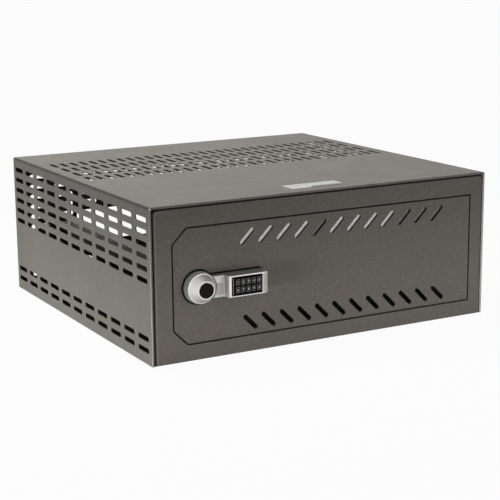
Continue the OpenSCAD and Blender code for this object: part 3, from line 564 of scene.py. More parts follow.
def rating_plate(name):
    """Bare satin plate: brushed along its length and blotched, with a dull strip along its right front."""
    f = Finish(name)
    part = f.parts()
    brushed = f.noise(260.0, 4.0, 0.7, f.stretched((0.06, 3.0, 1.0)))
    right = f.span(part[0], (PLATE_SPLIT_X - 0.4) * MM, (PLATE_SPLIT_X + 0.4) * MM, 0.0, 1.0)
    near = f.span(part[1], (PLATE_SPLIT_Y - 0.4) * MM, (PLATE_SPLIT_Y + 0.4) * MM, 1.0, 0.0)
    tone = f.swing(brushed, 0.9, 1.06)
    worn = f.noise(300.0, 3.0, 0.7, f.stretched((1.0, 1.6, 1.0)))
    tone = f.times(tone, f.span(worn, 0.38, 0.62, 0.62, 1.12))
    base = f.tinted(f.mix(f.times(right, near), (0.74, 0.735, 0.72), (0.22, 0.215, 0.20)), tone)
    return f.finish(base, f.swing(brushed, 0.4, 0.55), f.bump(brushed, 0.12, 0.00005), metallic=0.1)


SHELL = (0.196, 0.183, 0.159)
# The front's colour is the shell's powder coat painted darker: painted shade on the front, which gets less
# light.
FRONT_SHADED = (0.150, 0.135, 0.118)
# The shell's coat carries painted shade on its inside faces and on its bends.
shell_coat = powder_coat("shell_powder_coat", SHELL, (0.42, 0.40, 0.37), inside=0.4)
front_shaded_coat = powder_coat("front_powder_coat_painted_shade", FRONT_SHADED, (0.24, 0.225, 0.20), rim=True)
# Painted highlight: a pale coat for the shell's front edges.
edge_highlight_coat = powder_coat("painted_highlight_edge_coat", (0.46, 0.445, 0.415), (0.65, 0.63, 0.60), 0.45)
# Painted glint: a near white coat for the shell's upper left corner.
corner_glint_coat = powder_coat("painted_glint_corner_coat", (0.92, 0.91, 0.89), (0.95, 0.94, 0.93), 0.35)
silver = satin_silver("satin_silver_lacquer", (0.76, 0.75, 0.73), 0.36, 0.15)
# Painted sheen on the knob's cone: its tone changes by sector about the axis.
turned_silver_painted_sheen = satin_silver("turned_silver_painted_sheen", (0.80, 0.79, 0.77), 0.36, 0.15, 0, 0.3)
# Painted shade: a dark grey copy of the silver for the slope up to the keypad face.
slope_painted_shade = satin_silver("housing_slope_painted_shade", (0.40, 0.39, 0.375), 0.5, 0.1)
# Painted shade: a dark copy of the silver for the housing's top and bottom walls.
side_silver_painted_shade = satin_silver("housing_side_painted_shade", (0.30, 0.29, 0.275), 0.45, 0.1)
arm_grey = satin_silver("arm_panel_grey", (0.60, 0.59, 0.565), 0.5, 0.1)
# Painted shade: a dark copy of the silver for the knob's skirt and the foot's edge.
ribbed_silver_painted_shade = satin_silver("ribbed_silver_painted_shade", (0.30, 0.29, 0.275), 0.45, 0.2, 110)
# Painted highlight: a near white silver for the rims and edges of the lock.
silver_painted_highlight = satin_silver("silver_edge_painted_highlight", (0.88, 0.875, 0.86), 0.3, 0.45)
zinc = zinc_plate("zinc_plate", (0.56, 0.56, 0.54))
bright = zinc_plate("ground_steel", (0.66, 0.66, 0.64), 0.24, 1.0)
# Painted light on the ledges' tops and painted shade on their legs.
ledge_light_and_shade = ledge_plate("ledge_painted_light_and_shade", (0.86, 0.85, 0.83), (0.035, 0.034, 0.032))
# The baffle and the strip behind the upper slots carry a painted shadow along each slot.
baffle_plate = zinc_plate("pale_baffle_plate", (0.92, 0.91, 0.88), 0.5, 0.1, 420.0, 0.7, slot_shadows=True)
shield_coat = powder_coat("shield_powder_coat", (0.27, 0.255, 0.23), (0.42, 0.40, 0.37), slot_shadows=True)
# Painted shade: the base is coated near black for the dark inside of the cabinet.
base_painted_shade = powder_coat("base_painted_shade_coat", (0.022, 0.021, 0.019), (0.05, 0.048, 0.045), 0.8, specular=0.05)
black = moulded_plastic("black_plastic", (0.012, 0.012, 0.010), 0.5, 1.0, 0.25)
cap_black = moulded_plastic("knob_cap_black", (0.007, 0.007, 0.006), 0.6, 0.5, 0.1)
key_black = moulded_plastic("key_black", (0.006, 0.006, 0.005), 0.55, 0.3, 0.08)
rubber = moulded_plastic("black_rubber", (0.009, 0.009, 0.008), 0.8, 0.5, 0.08)
window_black = glossy_panel("keypad_window_black", (0.004, 0.004, 0.004))
print_pale = printed("pale_print", (0.66, 0.655, 0.63))
print_line = printed("key_outline_print", (0.34, 0.335, 0.32))
brass = machined_brass("turned_brass", (0.66, 0.50, 0.22))
board = circuit_board("board_green", (0.016, 0.085, 0.032))
wrap = cell_wrap("cell_wrap_blue", (0.05, 0.10, 0.22))
plate_finish = rating_plate("bare_rating_plate")

SLOT_FINISH = {
    "shell_paint": shell_coat,
    "front_paint": front_shaded_coat,
    "silver_lock": silver,
    "zinc": zinc,
    "black_plastic": black,
    "key_plastic": key_black,
    "black_rubber": rubber,
    "brass": brass,
    "circuit_board": board,
    "cell_wrap": wrap,
    "bright_steel": bright,
}
NODE_FINISH = {
    "slot_baffles": baffle_plate,
    "slot_shield": shield_coat,
    "base_panel": base_painted_shade,
    "keypad_plate": window_black,
    "ledge_left": ledge_light_and_shade,
    "ledge_right": ledge_light_and_shade,
}


# Edges and shading of the sheet metal
def shaded_edges():
    """Joins the loose triangles, shades the faces smooth and keeps edges over 30 degrees sharp."""
    tree = bpy.data.node_groups.new("joined_smooth_faces", "GeometryNodeTree")
    tree.interface.new_socket("Geometry", in_out="INPUT", socket_type="NodeSocketGeometry")
    tree.interface.new_socket("Geometry", in_out="OUTPUT", socket_type="NodeSocketGeometry")
    start = tree.nodes.new("NodeGroupInput")
    end = tree.nodes.new("NodeGroupOutput")
    join = tree.nodes.new("GeometryNodeMergeByDistance")
    join.inputs["Distance"].default_value = MEETING_DISTANCE
    faces = tree.nodes.new("GeometryNodeSetShadeSmooth")
    faces.domain = "FACE"
    faces.inputs["Shade Smooth"].default_value = True
    angle = tree.nodes.new("GeometryNodeInputMeshEdgeAngle")
    sharp = tree.nodes.new("FunctionNodeCompare")
    sharp.data_type = "FLOAT"
    sharp.operation = "GREATER_THAN"
    sharp.inputs[1].default_value = SHARP_EDGE
    edges = tree.nodes.new("GeometryNodeSetShadeSmooth")
    edges.domain = "EDGE"
    edges.inputs["Shade Smooth"].default_value = False
    link = tree.links.new
    link(start.outputs[0], join.inputs["Geometry"])
    link(join.outputs["Geometry"], faces.inputs["Geometry"])
    link(faces.outputs["Geometry"], edges.inputs["Geometry"])
    link(angle.outputs["Unsigned Angle"], sharp.inputs[0])
    link(sharp.outputs["Result"], edges.inputs["Selection"])
    link(edges.outputs["Geometry"], end.inputs[0])
    return tree


def edge_weights():
    """Rounding weight of each convex edge: one share in a box and behind a depth, another elsewhere."""
    tree = bpy.data.node_groups.new("edge_weights", "GeometryNodeTree")
    face = tree.interface
    face.new_socket("Geometry", in_out="INPUT", socket_type="NodeSocketGeometry")
    for name in ("Low", "High"):
        face.new_socket(name, in_out="INPUT", socket_type="NodeSocketVector")
    for name in ("Depth", "Inner share", "Outer share"):
        face.new_socket(name, in_out="INPUT", socket_type="NodeSocketFloat")
    face.new_socket("Geometry", in_out="OUTPUT", socket_type="NodeSocketGeometry")
    start = tree.nodes.new("NodeGroupInput")
    end = tree.nodes.new("NodeGroupOutput")
    link = tree.links.new

    def math_node(operation, a, b):
        made = tree.nodes.new("ShaderNodeMath")
        made.operation = operation
        for socket, value in zip(made.inputs, (a, b)):
            if isinstance(value, bpy.types.NodeSocket):
                link(value, socket)
            else:
                socket.default_value = value
        return made.outputs[0]

    def parts(value):
        made = tree.nodes.new("ShaderNodeSeparateXYZ")
        link(value, made.inputs[0])
        return made.outputs

    place = parts(tree.nodes.new("GeometryNodeInputPosition").outputs[0])
    low, high = parts(start.outputs["Low"]), parts(start.outputs["High"])
    inside = 1.0
    for axis in range(3):
        over = math_node("GREATER_THAN", place[axis], low[axis])
        under = math_node("LESS_THAN", place[axis], high[axis])
        inside = math_node("MULTIPLY", inside, math_node("MULTIPLY", over, under))
    inside = math_node("MAXIMUM", inside, math_node("GREATER_THAN", place[1], start.outputs["Depth"]))
    change = math_node("SUBTRACT", start.outputs["Inner share"], start.outputs["Outer share"])
    share = math_node("ADD", start.outputs["Outer share"], math_node("MULTIPLY", inside, change))
    angle = tree.nodes.new("GeometryNodeInputMeshEdgeAngle").outputs["Signed Angle"]
    share = math_node("MULTIPLY", share, math_node("GREATER_THAN", angle, CONVEX_EDGE))
    store = tree.nodes.new("GeometryNodeStoreNamedAttribute")
    store.data_type = "FLOAT"
    store.domain = "EDGE"
    store.inputs["Name"].default_value = "bevel_weight_edge"
    link(start.outputs["Geometry"], store.inputs["Geometry"])
    link(share, store.inputs["Value"])
    link(store.outputs["Geometry"], end.inputs[0])
    return tree


# Rounding of the sheet metal's edges: width, box and depth in millimetres, share inside, share elsewhere
FAR = 1000.0
EVERYWHERE = ((-FAR, -FAR, -FAR), (FAR, FAR, FAR), FAR)
EDGE_ROUND = {
    "front_frame": (1.0, (-228, -250, 19), (233, -200, 173), -239.8, 0.6, 1.0),
    "door_panel": (0.7, (-200, -250, 26), (215, -200, 165), FAR, 0.5, 1.0),
    "side_panel_left": (0.35, (-FAR, -238, 1), (FAR, FAR, 196.4), FAR, 1.0, 0.0),
    "side_panel_right": (0.35, (-FAR, -238, 1), (FAR, FAR, 196.4), FAR, 1.0, 0.0),
    "top_panel": (0.35, (-251.5, -238, -FAR), (251.5, FAR, FAR), FAR, 1.0, 0.0),
    "back_panel": (0.35, *EVERYWHERE, 1.0, 1.0),
    "lock_gasket": (0.35, *EVERYWHERE, 1.0, 1.0),
    "lock_cover": (0.5, *EVERYWHERE, 1.0, 1.0),
    "battery_lid": (0.3, *EVERYWHERE, 1.0, 1.0),
    "cable_edge_trim": (0.5, *EVERYWHERE, 1.0, 1.0),
    "ledge_left": (0.4, *EVERYWHERE, 1.0, 1.0),
    "ledge_right": (0.4, *EVERYWHERE, 1.0, 1.0),
}
smooth_group = shaded_edges()
weight_group = edge_weights()
weight_sockets = {
    item.name: item.identifier for item in weight_group.interface.items_tree if item.in_out == "INPUT"
}


def round_edges(obj, width, low, high, depth, inner, outer):
    """Weights the edges, then rounds them with a bevel."""
    weights = obj.modifiers.new("edge_weights", "NODES")
    weights.node_group = weight_group
    for socket, value in (("Low", low), ("High", high)):
        weights[weight_sockets[socket]] = [c * MM for c in value]
    for socket, value in (("Depth", depth * MM), ("Inner share", inner), ("Outer share", outer)):
        weights[weight_sockets[socket]] = float(value)
    bevel = obj.modifiers.new("rounded_edges", "BEVEL")
    bevel.width = width * MM
    bevel.segments = BEVEL_STEPS
    bevel.limit_method = "WEIGHT"
    bevel.use_clamp_overlap = False
    bevel.loop_slide = False
    bevel.harden_normals = True


slot_of = {row["node"]: row["material_slot"] for row in frame["record"]["subparts"]}
for name, obj in frame["nodes"].items():
    finish = NODE_FINISH.get(name, SLOT_FINISH[slot_of[name]])
    if not obj.material_slots:
        obj.data.materials.append(finish)
    for holder in obj.material_slots:
        holder.material = finish
    modifier = obj.modifiers.new("joined_smooth_faces", "NODES")
    modifier.node_group = smooth_group
    if name in EDGE_ROUND:
        round_edges(obj, *EDGE_ROUND[name])
    flats = obj.modifiers.new("flat_faces_even", "WEIGHTED_NORMAL")
    flats.mode = "FACE_AREA"
    flats.weight = AREA_WEIGHT
    flats.keep_sharp = True


# Lock outside
def knob_turned():
    """The knob: its skirt, rim, cone and nose as one profile turned about the axis, with its bore. The skirt
    carries painted shade, the rim and nose a painted highlight, and the cone a painted sheen.
    """
    corners = [
        [4.2, 6.9],
        [19.2, 6.9],
        [19.7, 8.0],
        [19.4, 11.6],
        [18.9, 12.4],
        [18.1, 12.75],
        [16.0, 16.6],
        [13.2, 20.9],
        [12.0, 23.2],
        [11.5, 24.3],
        [10.3, 24.35],
        [9.92, 23.9],
        [9.92, 9.5],
        [4.2, 9.5],
    ]
    soft = [0, 0.4, 1.0, 0.5, 0.3, 0.3, 2.2, 1.6, 0.5, 0.35, 0.2, 0.2, 0.2, 0]
    line = rounded(corners, soft, 6)
    radius, rise = (line[1:] + line[:-1]).T / 2
    # Painted shade on the skirt.
    paint = np.where((radius > 19.0) & (rise < 11.5), 1, 0)
    # Painted highlight on the rim and the nose.
    paint = np.where((radius > 18.2) & (rise > 11.5), 2, paint)
    paint = np.where((radius > 9.95) & (rise > 23.2), 2, paint)
    surface = Surface()
    surface.grid(turned(line, 132), wrap_v=True, paint=paint[:, None])
    surface.grid(turned([[4.2, 9.5], [4.2, 6.9]], 132), wrap_v=True)
    finishes = [turned_silver_painted_sheen, ribbed_silver_painted_shade, silver_painted_highlight]
    surface.piece("knob_turned", "knob", finishes, ["knob"])


def cap_disc():
    """The black cap: a turned disc with a round edge and a shallow dish, dish depth 0.3 (1 - (r/8.1)^2)."""
    r = np.linspace(8.1, 0.0, 9)
    dish = np.stack([r, 24.75 - 0.3 * (1 - (r / 8.1) ** 2)], -1)
    corners = [[0.0, 22.4], [9.45, 22.4], [9.45, 24.85], [8.1, 24.85], [8.1, 24.75]]
    rim = rounded(corners, [0, 0.2, 0.6, 0.15, 0])
    surface = Surface()
    surface.grid(turned(np.vstack([rim, dish]), 72), wrap_v=True)
    surface.piece("knob_cap_disc", "cap", [cap_black], ["knob_cap"])


def arm_height(x, z):
    """Rise of the arm's front: a top facet that leans back, a flat panel sunk 0.7 below it, a lower lip."""
    top = KNOB_Z + 4.6 + 0.9 * smooth_step(x, -166.0, -163.5) - 1.0 * smooth_step(x, -163.0, -161.3)
    facet = 0.17 * np.clip(z - top, 0, None)
    inside = smooth_step(z, KNOB_Z - 10.4, KNOB_Z - 9.8) * (1 - smooth_step(z, top - 0.5, top))
    inside = inside * (1 - smooth_step(x, -161.2, -160.7))
    ridge = 0.25 * smooth_step(x, -161.0, -160.2)
    return ARM_RISE - 0.35 - facet + ridge - 0.75 * inside


def lock_body():
    """Foot and housing. The foot is turned. The bar is a tube of round-cornered sections along x: half height
    13.75 less the corner arc at the right end, and a front rise that follows arm, bevel, face and end arc."""
    surface = Surface()
    foot = rounded(
        [[0.0, GASKET_RISE], [FOOT_R, GASKET_RISE], [FOOT_R, FOOT_RISE], [4.9, FOOT_RISE], [0.0, FOOT_RISE]],
        [0, 0.3, 0.9, 0, 0], 6,
    )
    radius = (foot[1:, 0] + foot[:-1, 0]) / 2
    # Painted shade on the foot's outer edge.
    surface.grid(turned(foot, 132), wrap_v=True, paint=np.where(radius > FOOT_R - 1.0, 2, 0)[:, None])

    edge = 1.1
    win_l, win_r = WINDOW_X - WINDOW_W / 2, WINDOW_X + WINDOW_W / 2
    arm_share = np.linspace(0, 1, 26)
    bevel_xs = np.linspace(BEVEL_X, FACE_X, 8)[1:-1]
    round_over = FACE_X + edge * (1 - np.cos(np.linspace(0, np.pi / 2, 5)))
    face_xs = np.concatenate([round_over, np.linspace(win_l, win_r, 14), [FACE_END_X - 0.7, FACE_END_X]])
    turn = np.linspace(0, np.pi / 2, 15)[1:]
    end_xs = FACE_END_X + (BAR_END_X - FACE_END_X) * np.sin(turn)
    fixed_xs = np.concatenate([bevel_xs, face_xs, end_xs])

    sides = 7
    front = 56
    flat = 1 - edge / BAR_HALF
    curve = flat + (1 - flat) * np.sin(np.linspace(0, np.pi / 2, 6)[1:])
    z_lines = np.concatenate([-curve[::-1], np.linspace(-flat, flat, front - 10), curve])
    win_lines = [np.argmin(abs(z_lines * BAR_HALF + s * WINDOW_H / 2)) for s in (1, -1)]
    z_lines[win_lines[0]], z_lines[win_lines[1]] = -WINDOW_H / 2 / BAR_HALF, WINDOW_H / 2 / BAR_HALF
    hollow_r = FOOT_R - 0.25

    def section(kind, value):
        """One closed loop of points (x, rise, z) at a station."""
        if kind == "fixed":
            corner = max(0.0, value - (BAR_END_X - BAR_CORNER_R))
            half = BAR_HALF - BAR_CORNER_R + math.sqrt(max(0.0, BAR_CORNER_R ** 2 - corner ** 2))
        else:
            half = BAR_HALF
        z = KNOB_Z + z_lines * half
        if kind == "fixed":
            x = np.full(front, value)
            if value <= FACE_X:
                rise = ARM_RISE + (KEYPAD_RISE - edge - ARM_RISE) * (value - BEVEL_X) / (FACE_X - BEVEL_X)
            elif value < FACE_X + edge:
                rise = KEYPAD_RISE - edge + math.sqrt(edge ** 2 - (FACE_X + edge - value) ** 2)
            elif value <= FACE_END_X:
                rise = KEYPAD_RISE
            else:
                depth = BAR_END_X - FACE_END_X
                rise = KEYPAD_RISE - depth + math.sqrt(max(0.0, depth ** 2 - (value - FACE_END_X) ** 2))
            rise = np.full(front, rise)
        else:
            start = KNOB_X + np.sqrt(hollow_r ** 2 - (z - KNOB_Z) ** 2)
            x = start + (BEVEL_X - 0.3 - start) * value
            rise = arm_height(x, z)
        near = np.clip((edge - (half - np.abs(z - KNOB_Z))) / edge, 0, 1)
        rise = rise - edge * (1 - np.sqrt(1 - near ** 2))
        climb, drop = np.linspace(GASKET_RISE, rise[0], sides), np.linspace(rise[-1], GASKET_RISE, sides)
        low = np.stack([np.full(sides, x[0]), climb, np.full(sides, z[0])], -1)
        high = np.stack([np.full(sides, x[-1]), drop, np.full(sides, z[-1])], -1)
        across = np.stack([x, rise, z], -1)[1:-1]
        back = np.stack([x[::-1], np.full(front, GASKET_RISE), z[::-1]], -1)[1:-1]
        return np.vstack([low, across, high, back])

    loops = [section("arm", t) for t in arm_share] + [section("fixed", x) for x in fixed_xs]
    tube = np.array(loops)
    stations = tube[:, sides + 3, 0]
    across_first = sides - 1
    keep = np.ones((len(loops) - 1, tube.shape[1]), bool)
    in_window = (stations[:-1] >= win_l - 1e-6) & (stations[1:] <= win_r + 1e-6)
    rows = slice(across_first + win_lines[0], across_first + win_lines[1])
    keep[in_window, rows] = False

    def placed(points):
        points = np.asarray(points, float)
        return np.stack([points[..., 0], DOOR_Y - points[..., 1], points[..., 2]], -1)

    middle = (tube[1:, :-1] + tube[:-1, :-1] + tube[1:, 1:] + tube[:-1, 1:]) / 4
    x, rise, z = np.moveaxis(middle, -1, 0)
    panel = (x < -161.4) & (rise > ARM_RISE - 3.0) & (z > KNOB_Z - 9.6) & (z < KNOB_Z + 4.2)
    paint = np.zeros((len(loops) - 1, tube.shape[1]), int)
    # Painted shade on the housing's top and bottom walls.
    wall = (abs(z - KNOB_Z) > BAR_HALF - 0.05) & (x < BAR_END_X - BAR_CORNER_R)
    # Painted shade on the slope from the arm up to the keypad face.
    slope = (x > BEVEL_X - 0.4) & (x < FACE_X + 0.1)
    panel = panel | ((x > win_r + 1.2) & (abs(z - KNOB_Z) < BAR_HALF - edge))
    # Painted highlight on the keypad face's rounded edges and on its strip left of the window.
    front_rim = (rise > KEYPAD_RISE - edge - 0.1) & ((abs(z - KNOB_Z) > BAR_HALF - edge) | (x < win_l))
    paint[:, :-1] = np.where(wall, 3, np.where(slope, 4, np.where(front_rim, 5, panel)))
    surface.grid(placed(tube), wrap_v=True, keep=keep, paint=paint)

    def end_wall(loop):
        """Fills a loop with a grid between its front line and its back line."""
        line = loop[sides - 1:sides - 1 + front]
        base = line.copy()
        base[:, 1] = GASKET_RISE
        return base[:, None] + (line - base)[:, None] * np.linspace(0, 1, sides)[:, None]

    surface.grid(placed(end_wall(tube[0])))
    surface.grid(placed(end_wall(tube[-1])[::-1]))

    win_b, win_t = KNOB_Z - WINDOW_H / 2, KNOB_Z + WINDOW_H / 2
    window = [(win_l, win_b), (win_r, win_b), (win_r, win_t), (win_l, win_t)]
    floor_rise = 4.0
    rim = np.array([[[x, rise, z] for rise in (KEYPAD_RISE, floor_rise)] for x, z in window])
    surface.grid(placed(rim), wrap_u=True)
    surface.grid(placed([[[x, floor_rise, z] for z in (win_b, win_t)] for x in (win_l, win_r)]))
    finishes = [silver, arm_grey, ribbed_silver_painted_shade, side_silver_painted_shade, slope_painted_shade, silver_painted_highlight]
    surface.piece("lock_body_cast", "door", finishes, ["lock_housing"], 40.0)


knob_turned()
cap_disc()
lock_body()


def stacked(rings, x, z, corner, half_w, half_h):
    """Rings (inset, rise) of one round-cornered outline, as a closed grid from the back to the front."""
    rows = []
    for inset, rise in rings:
        outline = rounded_outline(half_w - inset, half_h - inset, max(corner - inset, 0.05))
        y = np.full(len(outline), DOOR_Y - rise)
        rows.append(np.stack([x + outline[:, 0], y, z + outline[:, 1]], -1))
    return closed(rows)


def numeral(digit, x, z, rise, height):
    """Points and triangles of a digit, filled from its outline and stood up in front of the key."""
    curve = bpy.data.curves.new("digit", "FONT")
    curve.body = digit
    curve.align_x, curve.align_y = "CENTER", "CENTER"
    curve.size = height * 1.45
    curve.offset = height * 0.03
    curve.extrude = 0.03
    curve.resolution_u = 3
    holder = bpy.data.objects.new("digit", curve)
    bpy.context.scene.collection.objects.link(holder)
    mesh = bpy.data.meshes.new_from_object(holder.evaluated_get(bpy.context.evaluated_depsgraph_get()))
    mesh.calc_loop_triangles()
    points = np.zeros(len(mesh.vertices) * 3, np.float32)
    mesh.vertices.foreach_get("co", points)
    corners = np.zeros(len(mesh.loop_triangles) * 3, np.int32)
    mesh.loop_triangles.foreach_get("vertices", corners)
    points = points.reshape(-1, 3).astype(float)
    middle = (points.max(0) + points.min(0)) / 2
    bpy.data.objects.remove(holder)
    bpy.data.curves.remove(curve)
    bpy.data.meshes.remove(mesh)
    lx, ly, lz = (points - middle).T
    corners = corners.reshape(-1, 3)
    return np.stack([x + lx, DOOR_Y - rise - lz, z + ly], -1), np.hstack([corners, corners[:, 2:]])


def key_caps():
    """Ten keys: stacked round-cornered outlines with a soft edge, an outline band, a dish and a digit."""
    rings = [(0.0, 20.5), (0.0, 23.45), (0.06, 23.68), (0.18, 23.83), (0.36, 23.9), (0.52, 23.9),
             (0.86, 23.9), (1.1, 23.89), (1.6, 23.85), (2.2, 23.82), (2.7, 23.81)]
    outline_band = 6
    for index, digit in enumerate("1234567890"):
        column, row = index % 5, index // 5
        x = KEYS_X + (column - 2) * KEY_PITCH_X
        z = KNOB_Z + (0.5 - row) * KEY_PITCH_Z
        grid = stacked(rings, x, z, 0.9, 3.0, 4.0)
        paint = np.zeros((len(grid) - 1, grid.shape[1]), int)
        paint[outline_band] = 1
        surface = Surface()
        surface.grid(grid, wrap_v=True, paint=paint)
        surface.faces(*numeral(digit, x, z, 23.86, 2.9), paint=2)
        node = "key_" + digit
        surface.piece("key_cap_" + digit, node, [key_black, print_line, print_pale], [node])


def window_strip():
    """Thin pale strip down the left side of the window."""
    rings = [(0.0, 22.9), (0.0, 23.2), (0.06, 23.28), (0.14, 23.3)]
    surface = Surface()
    surface.grid(stacked(rings, -153.2, KNOB_Z, 0.3, 0.34, 10.8), wrap_v=True)
    surface.piece("window_strip", "door", [print_line])


def bare_rating_plate():
    """Bare plate on the top where such a box carries its rating plate: round-cornered rings, 0.5 thick."""
    surface = Surface()
    rings = [(0.0, 200.0), (0.0, 200.32), (0.08, 200.44), (0.25, 200.5), (0.8, 200.5)]
    rows = []
    for inset, height in rings:
        outline = rounded_outline(PLATE_W / 2 - inset, PLATE_D / 2 - inset, 1.6 - inset)
        z = np.full(len(outline), height)
        rows.append(np.stack([PLATE_X + outline[:, 0], PLATE_Y + outline[:, 1], z], -1))
    surface.grid(closed(rows), wrap_v=True)
    surface.piece("bare_rating_plate", "cabinet", [plate_finish])


def shell_nose():
    """Folded front edge of the shell: a flat front with two quarter rounds of radius 0.8 and the leg behind
    it, carried up the left side, round the two bends and down the right side."""
    thick, soft, bend = 3.0, 0.8, 3.0
    wall, leg_back = 1.5, 8.0
    turn = np.linspace(0, np.pi / 2, 6)
    inward = np.concatenate([soft - soft * np.cos(turn), thick - soft + soft * np.sin(turn)])
    y = DOOR_Y + soft - soft * np.concatenate([np.sin(turn), np.cos(turn)])
    inward = np.append(inward, [thick, thick, wall + 0.02, wall + 0.02, 0.0])
    y = np.append(y, DOOR_Y + np.array([2.5, leg_back, leg_back, wall + 0.02, wall]))
    up = np.linspace(0, BODY_H - bend, 9)
    round_left = np.linspace(np.pi, np.pi / 2, 9)
    across = np.linspace(-BODY_HALF_W + bend, BODY_HALF_W - bend, 17)
    rows = [np.stack([-BODY_HALF_W + inward, y, np.full_like(y, z)], -1) for z in up]
    centre_x, centre_z = -BODY_HALF_W + bend, BODY_H - bend
    left = [
        np.stack([centre_x + (bend - inward) * math.cos(a), y, centre_z + (bend - inward) * math.sin(a)], -1)
        for a in round_left[1:]
    ]
    top = [np.stack([np.full_like(y, x), y, BODY_H - inward], -1) for x in across[1:-1]]
    half_way = rows + left + top
    mirrored = [row * np.array([-1.0, 1.0, 1.0]) for row in (rows + left)[::-1]]
    path = np.array(half_way + mirrored)
    paint = np.zeros((len(path) + 1, path.shape[1]), int)
    upright = len(up)
    # Painted highlight on the left leg's outer round.
    paint[:upright, :5] = 1
    # Painted glint round the upper left bend.
    paint[upright:upright + 5, :9] = 2
    # Painted highlight on the right leg's front and its inner round.
    paint[-upright:, 4:12] = 1
    surface = Surface()
    surface.grid(closed(path), wrap_v=True, paint=paint)
    finishes = [shell_coat, edge_highlight_coat, corner_glint_coat]
    surface.piece("shell_nose", "cabinet", finishes, ["front_hem"], 50.0)


key_caps()
window_strip()
bare_rating_plate()
shell_nose()


# Floor, light and camera
CENTRE = (0.0, 0.0, 0.1)
STRIP_Z = 0.03
FLOOR_TONE = 0.62
FLOOR_GLOW_SHARE = 0.96
CAMERA_YAW, CAMERA_PITCH, CAMERA_ROLL = math.radians(29.0525), math.radians(12.5093), -0.00848
CAMERA_PLACE = (-0.93217, -1.7085, 0.50527)
CAMERA_LENS, CAMERA_SENSOR = 98.326, 36.0


def studio_floor():
    """Pale floor: white to the camera and mirrors, but for a faint share that takes the object's shadow."""
    reach, steps = 20.0, 5
    x, y = np.meshgrid(np.linspace(-reach, reach, steps), np.linspace(-reach, reach, steps), indexing="ij")
    points = np.stack([x, y, np.full_like(x, -0.0005)], -1).reshape(-1, 3)
    index = np.arange(steps * steps).reshape(steps, steps)
    quads = np.stack([index[:-1, :-1], index[1:, :-1], index[1:, 1:], index[:-1, 1:]], -1).reshape(-1, 4)
    mesh = bpy.data.meshes.new("studio_floor")
    mesh.from_pydata(points.tolist(), [], quads.tolist())
    floor = bpy.data.objects.new("studio_floor", mesh)
    bpy.context.scene.collection.objects.link(floor)
    material = bpy.data.materials.new("pale_floor")
    material.use_nodes = True
    tree = material.node_tree
    tree.nodes.clear()
    output = tree.nodes.new("ShaderNodeOutputMaterial")
    diffuse = tree.nodes.new("ShaderNodeBsdfDiffuse")
    diffuse.inputs["Color"].default_value = (FLOOR_TONE, FLOOR_TONE, FLOOR_TONE, 1)
    glow = tree.nodes.new("ShaderNodeEmission")
    glow.inputs["Strength"].default_value = 1.0
    path = tree.nodes.new("ShaderNodeLightPath")
    seen = seen_directly(tree, path)
    share = tree.nodes.new("ShaderNodeMath")
    share.operation = "MULTIPLY"
    share.inputs[1].default_value = FLOOR_GLOW_SHARE
    mix = tree.nodes.new("ShaderNodeMixShader")
    tree.links.new(seen, share.inputs[0])
    tree.links.new(share.outputs[0], mix.inputs[0])
    tree.links.new(diffuse.outputs[0], mix.inputs[1])
    tree.links.new(glow.outputs[0], mix.inputs[2])
    tree.links.new(mix.outputs[0], output.inputs[0])
    mesh.materials.append(material)


def seen_directly(tree, path):
    """1 for camera, mirror and see-through rays."""
    total = path.outputs["Is Camera Ray"]
    for name in ("Is Glossy Ray", "Is Transmission Ray"):
        larger = tree.nodes.new("ShaderNodeMath")
        larger.operation = "MAXIMUM"
        tree.links.new(total, larger.inputs[0])
        tree.links.new(path.outputs[name], larger.inputs[1])
        total = larger.outputs[0]
    return total


def studio_world(level):
    """White to the camera and mirrors, and an even grey level of light for everything else."""
    world = bpy.data.worlds.new("studio_world")
    world.use_nodes = True
    tree = world.node_tree
    background = tree.nodes["Background"]
    background.inputs["Color"].default_value = (1, 1, 1, 1)
    path = tree.nodes.new("ShaderNodeLightPath")
    strength = tree.nodes.new("ShaderNodeMapRange")
    strength.inputs["To Min"].default_value = level
    strength.inputs["To Max"].default_value = 1.0
    tree.links.new(seen_directly(tree, path), strength.inputs["Value"])
    tree.links.new(strength.outputs["Result"], background.inputs["Strength"])
    bpy.context.scene.world = world


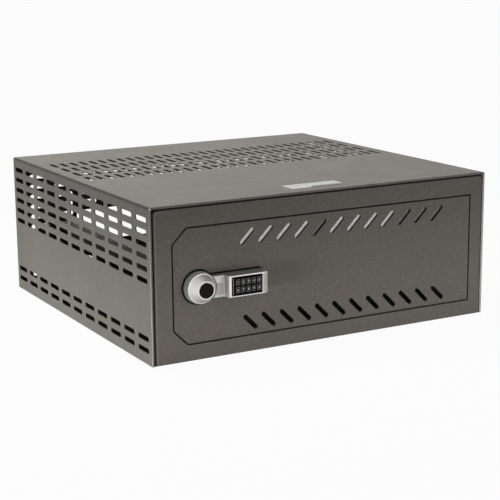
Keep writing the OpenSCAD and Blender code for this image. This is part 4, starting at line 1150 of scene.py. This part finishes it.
def soft_lamp(name, place, target, size, power):
    """Square soft lamp at place, facing target."""
    data = bpy.data.lights.new(name, "AREA")
    data.shape = "SQUARE"
    data.size = size
    data.energy = power
    lamp = bpy.data.objects.new(name, data)
    bpy.context.scene.collection.objects.link(lamp)
    away = np.array(place, float) - np.array(target, float)
    away /= np.linalg.norm(away)
    side = np.cross([0.0, 0.0, 1.0], away)
    side /= np.linalg.norm(side)
    up = np.cross(away, side)
    turn = np.eye(4)
    turn[:3, 0], turn[:3, 1], turn[:3, 2], turn[:3, 3] = side, up, away, place
    lamp.matrix_world = Matrix(turn.tolist())
    return lamp


def low_strip_lamp(name, place, target, length, height, spread, power):
    """Long low soft lamp near the floor, unseen itself, that lights the foot of a face more than its top."""
    lamp = soft_lamp(name, place, target, length, power)
    lamp.data.shape = "RECTANGLE"
    lamp.data.size_y = height
    lamp.data.spread = math.radians(spread)
    lamp.visible_camera = False
    lamp.visible_glossy = False


studio_world(0.16)
soft_lamp("lamp_overhead", (-0.42, 0.30, 1.35), CENTRE, 0.6, 11.0)
soft_lamp("lamp_front_right", (1.2, -2.2, 0.9), CENTRE, 1.4, 8.0)
low_strip_lamp("lamp_low_front", (0.0, -1.3, STRIP_Z), (0.0, 0.0, STRIP_Z), 1.4, 0.05, 19.0, 0.19)
low_strip_lamp("lamp_low_left", (-1.3, -0.5, STRIP_Z), (-0.25, -0.2, STRIP_Z), 1.0, 0.05, 22.0, 0.44)
studio_floor()


def photo_camera():
    """The photograph's camera: turned 29 degrees to the left of the front, looking 12.5 degrees down."""
    yaw, pitch, roll = CAMERA_YAW, CAMERA_PITCH, CAMERA_ROLL
    ahead = np.array([math.sin(yaw) * math.cos(pitch), math.cos(yaw) * math.cos(pitch), -math.sin(pitch)])
    level = np.array([math.cos(yaw), -math.sin(yaw), 0.0])
    above = np.cross(level, ahead)
    right = math.cos(roll) * level + math.sin(roll) * above
    up = -math.sin(roll) * level + math.cos(roll) * above
    data = bpy.data.cameras.new("photo_camera")
    data.lens = CAMERA_LENS
    data.sensor_width = CAMERA_SENSOR
    data.clip_start, data.clip_end = 0.05, 60.0
    camera = bpy.data.objects.new("photo_camera", data)
    bpy.context.scene.collection.objects.link(camera)
    turn = np.eye(4)
    turn[:3, 0], turn[:3, 1], turn[:3, 2] = right, up, -ahead
    turn[:3, 3] = CAMERA_PLACE
    camera.matrix_world = Matrix(turn.tolist())
    bpy.context.scene.camera = camera


photo_camera()
bpy.context.scene.view_settings.view_transform = "Standard"
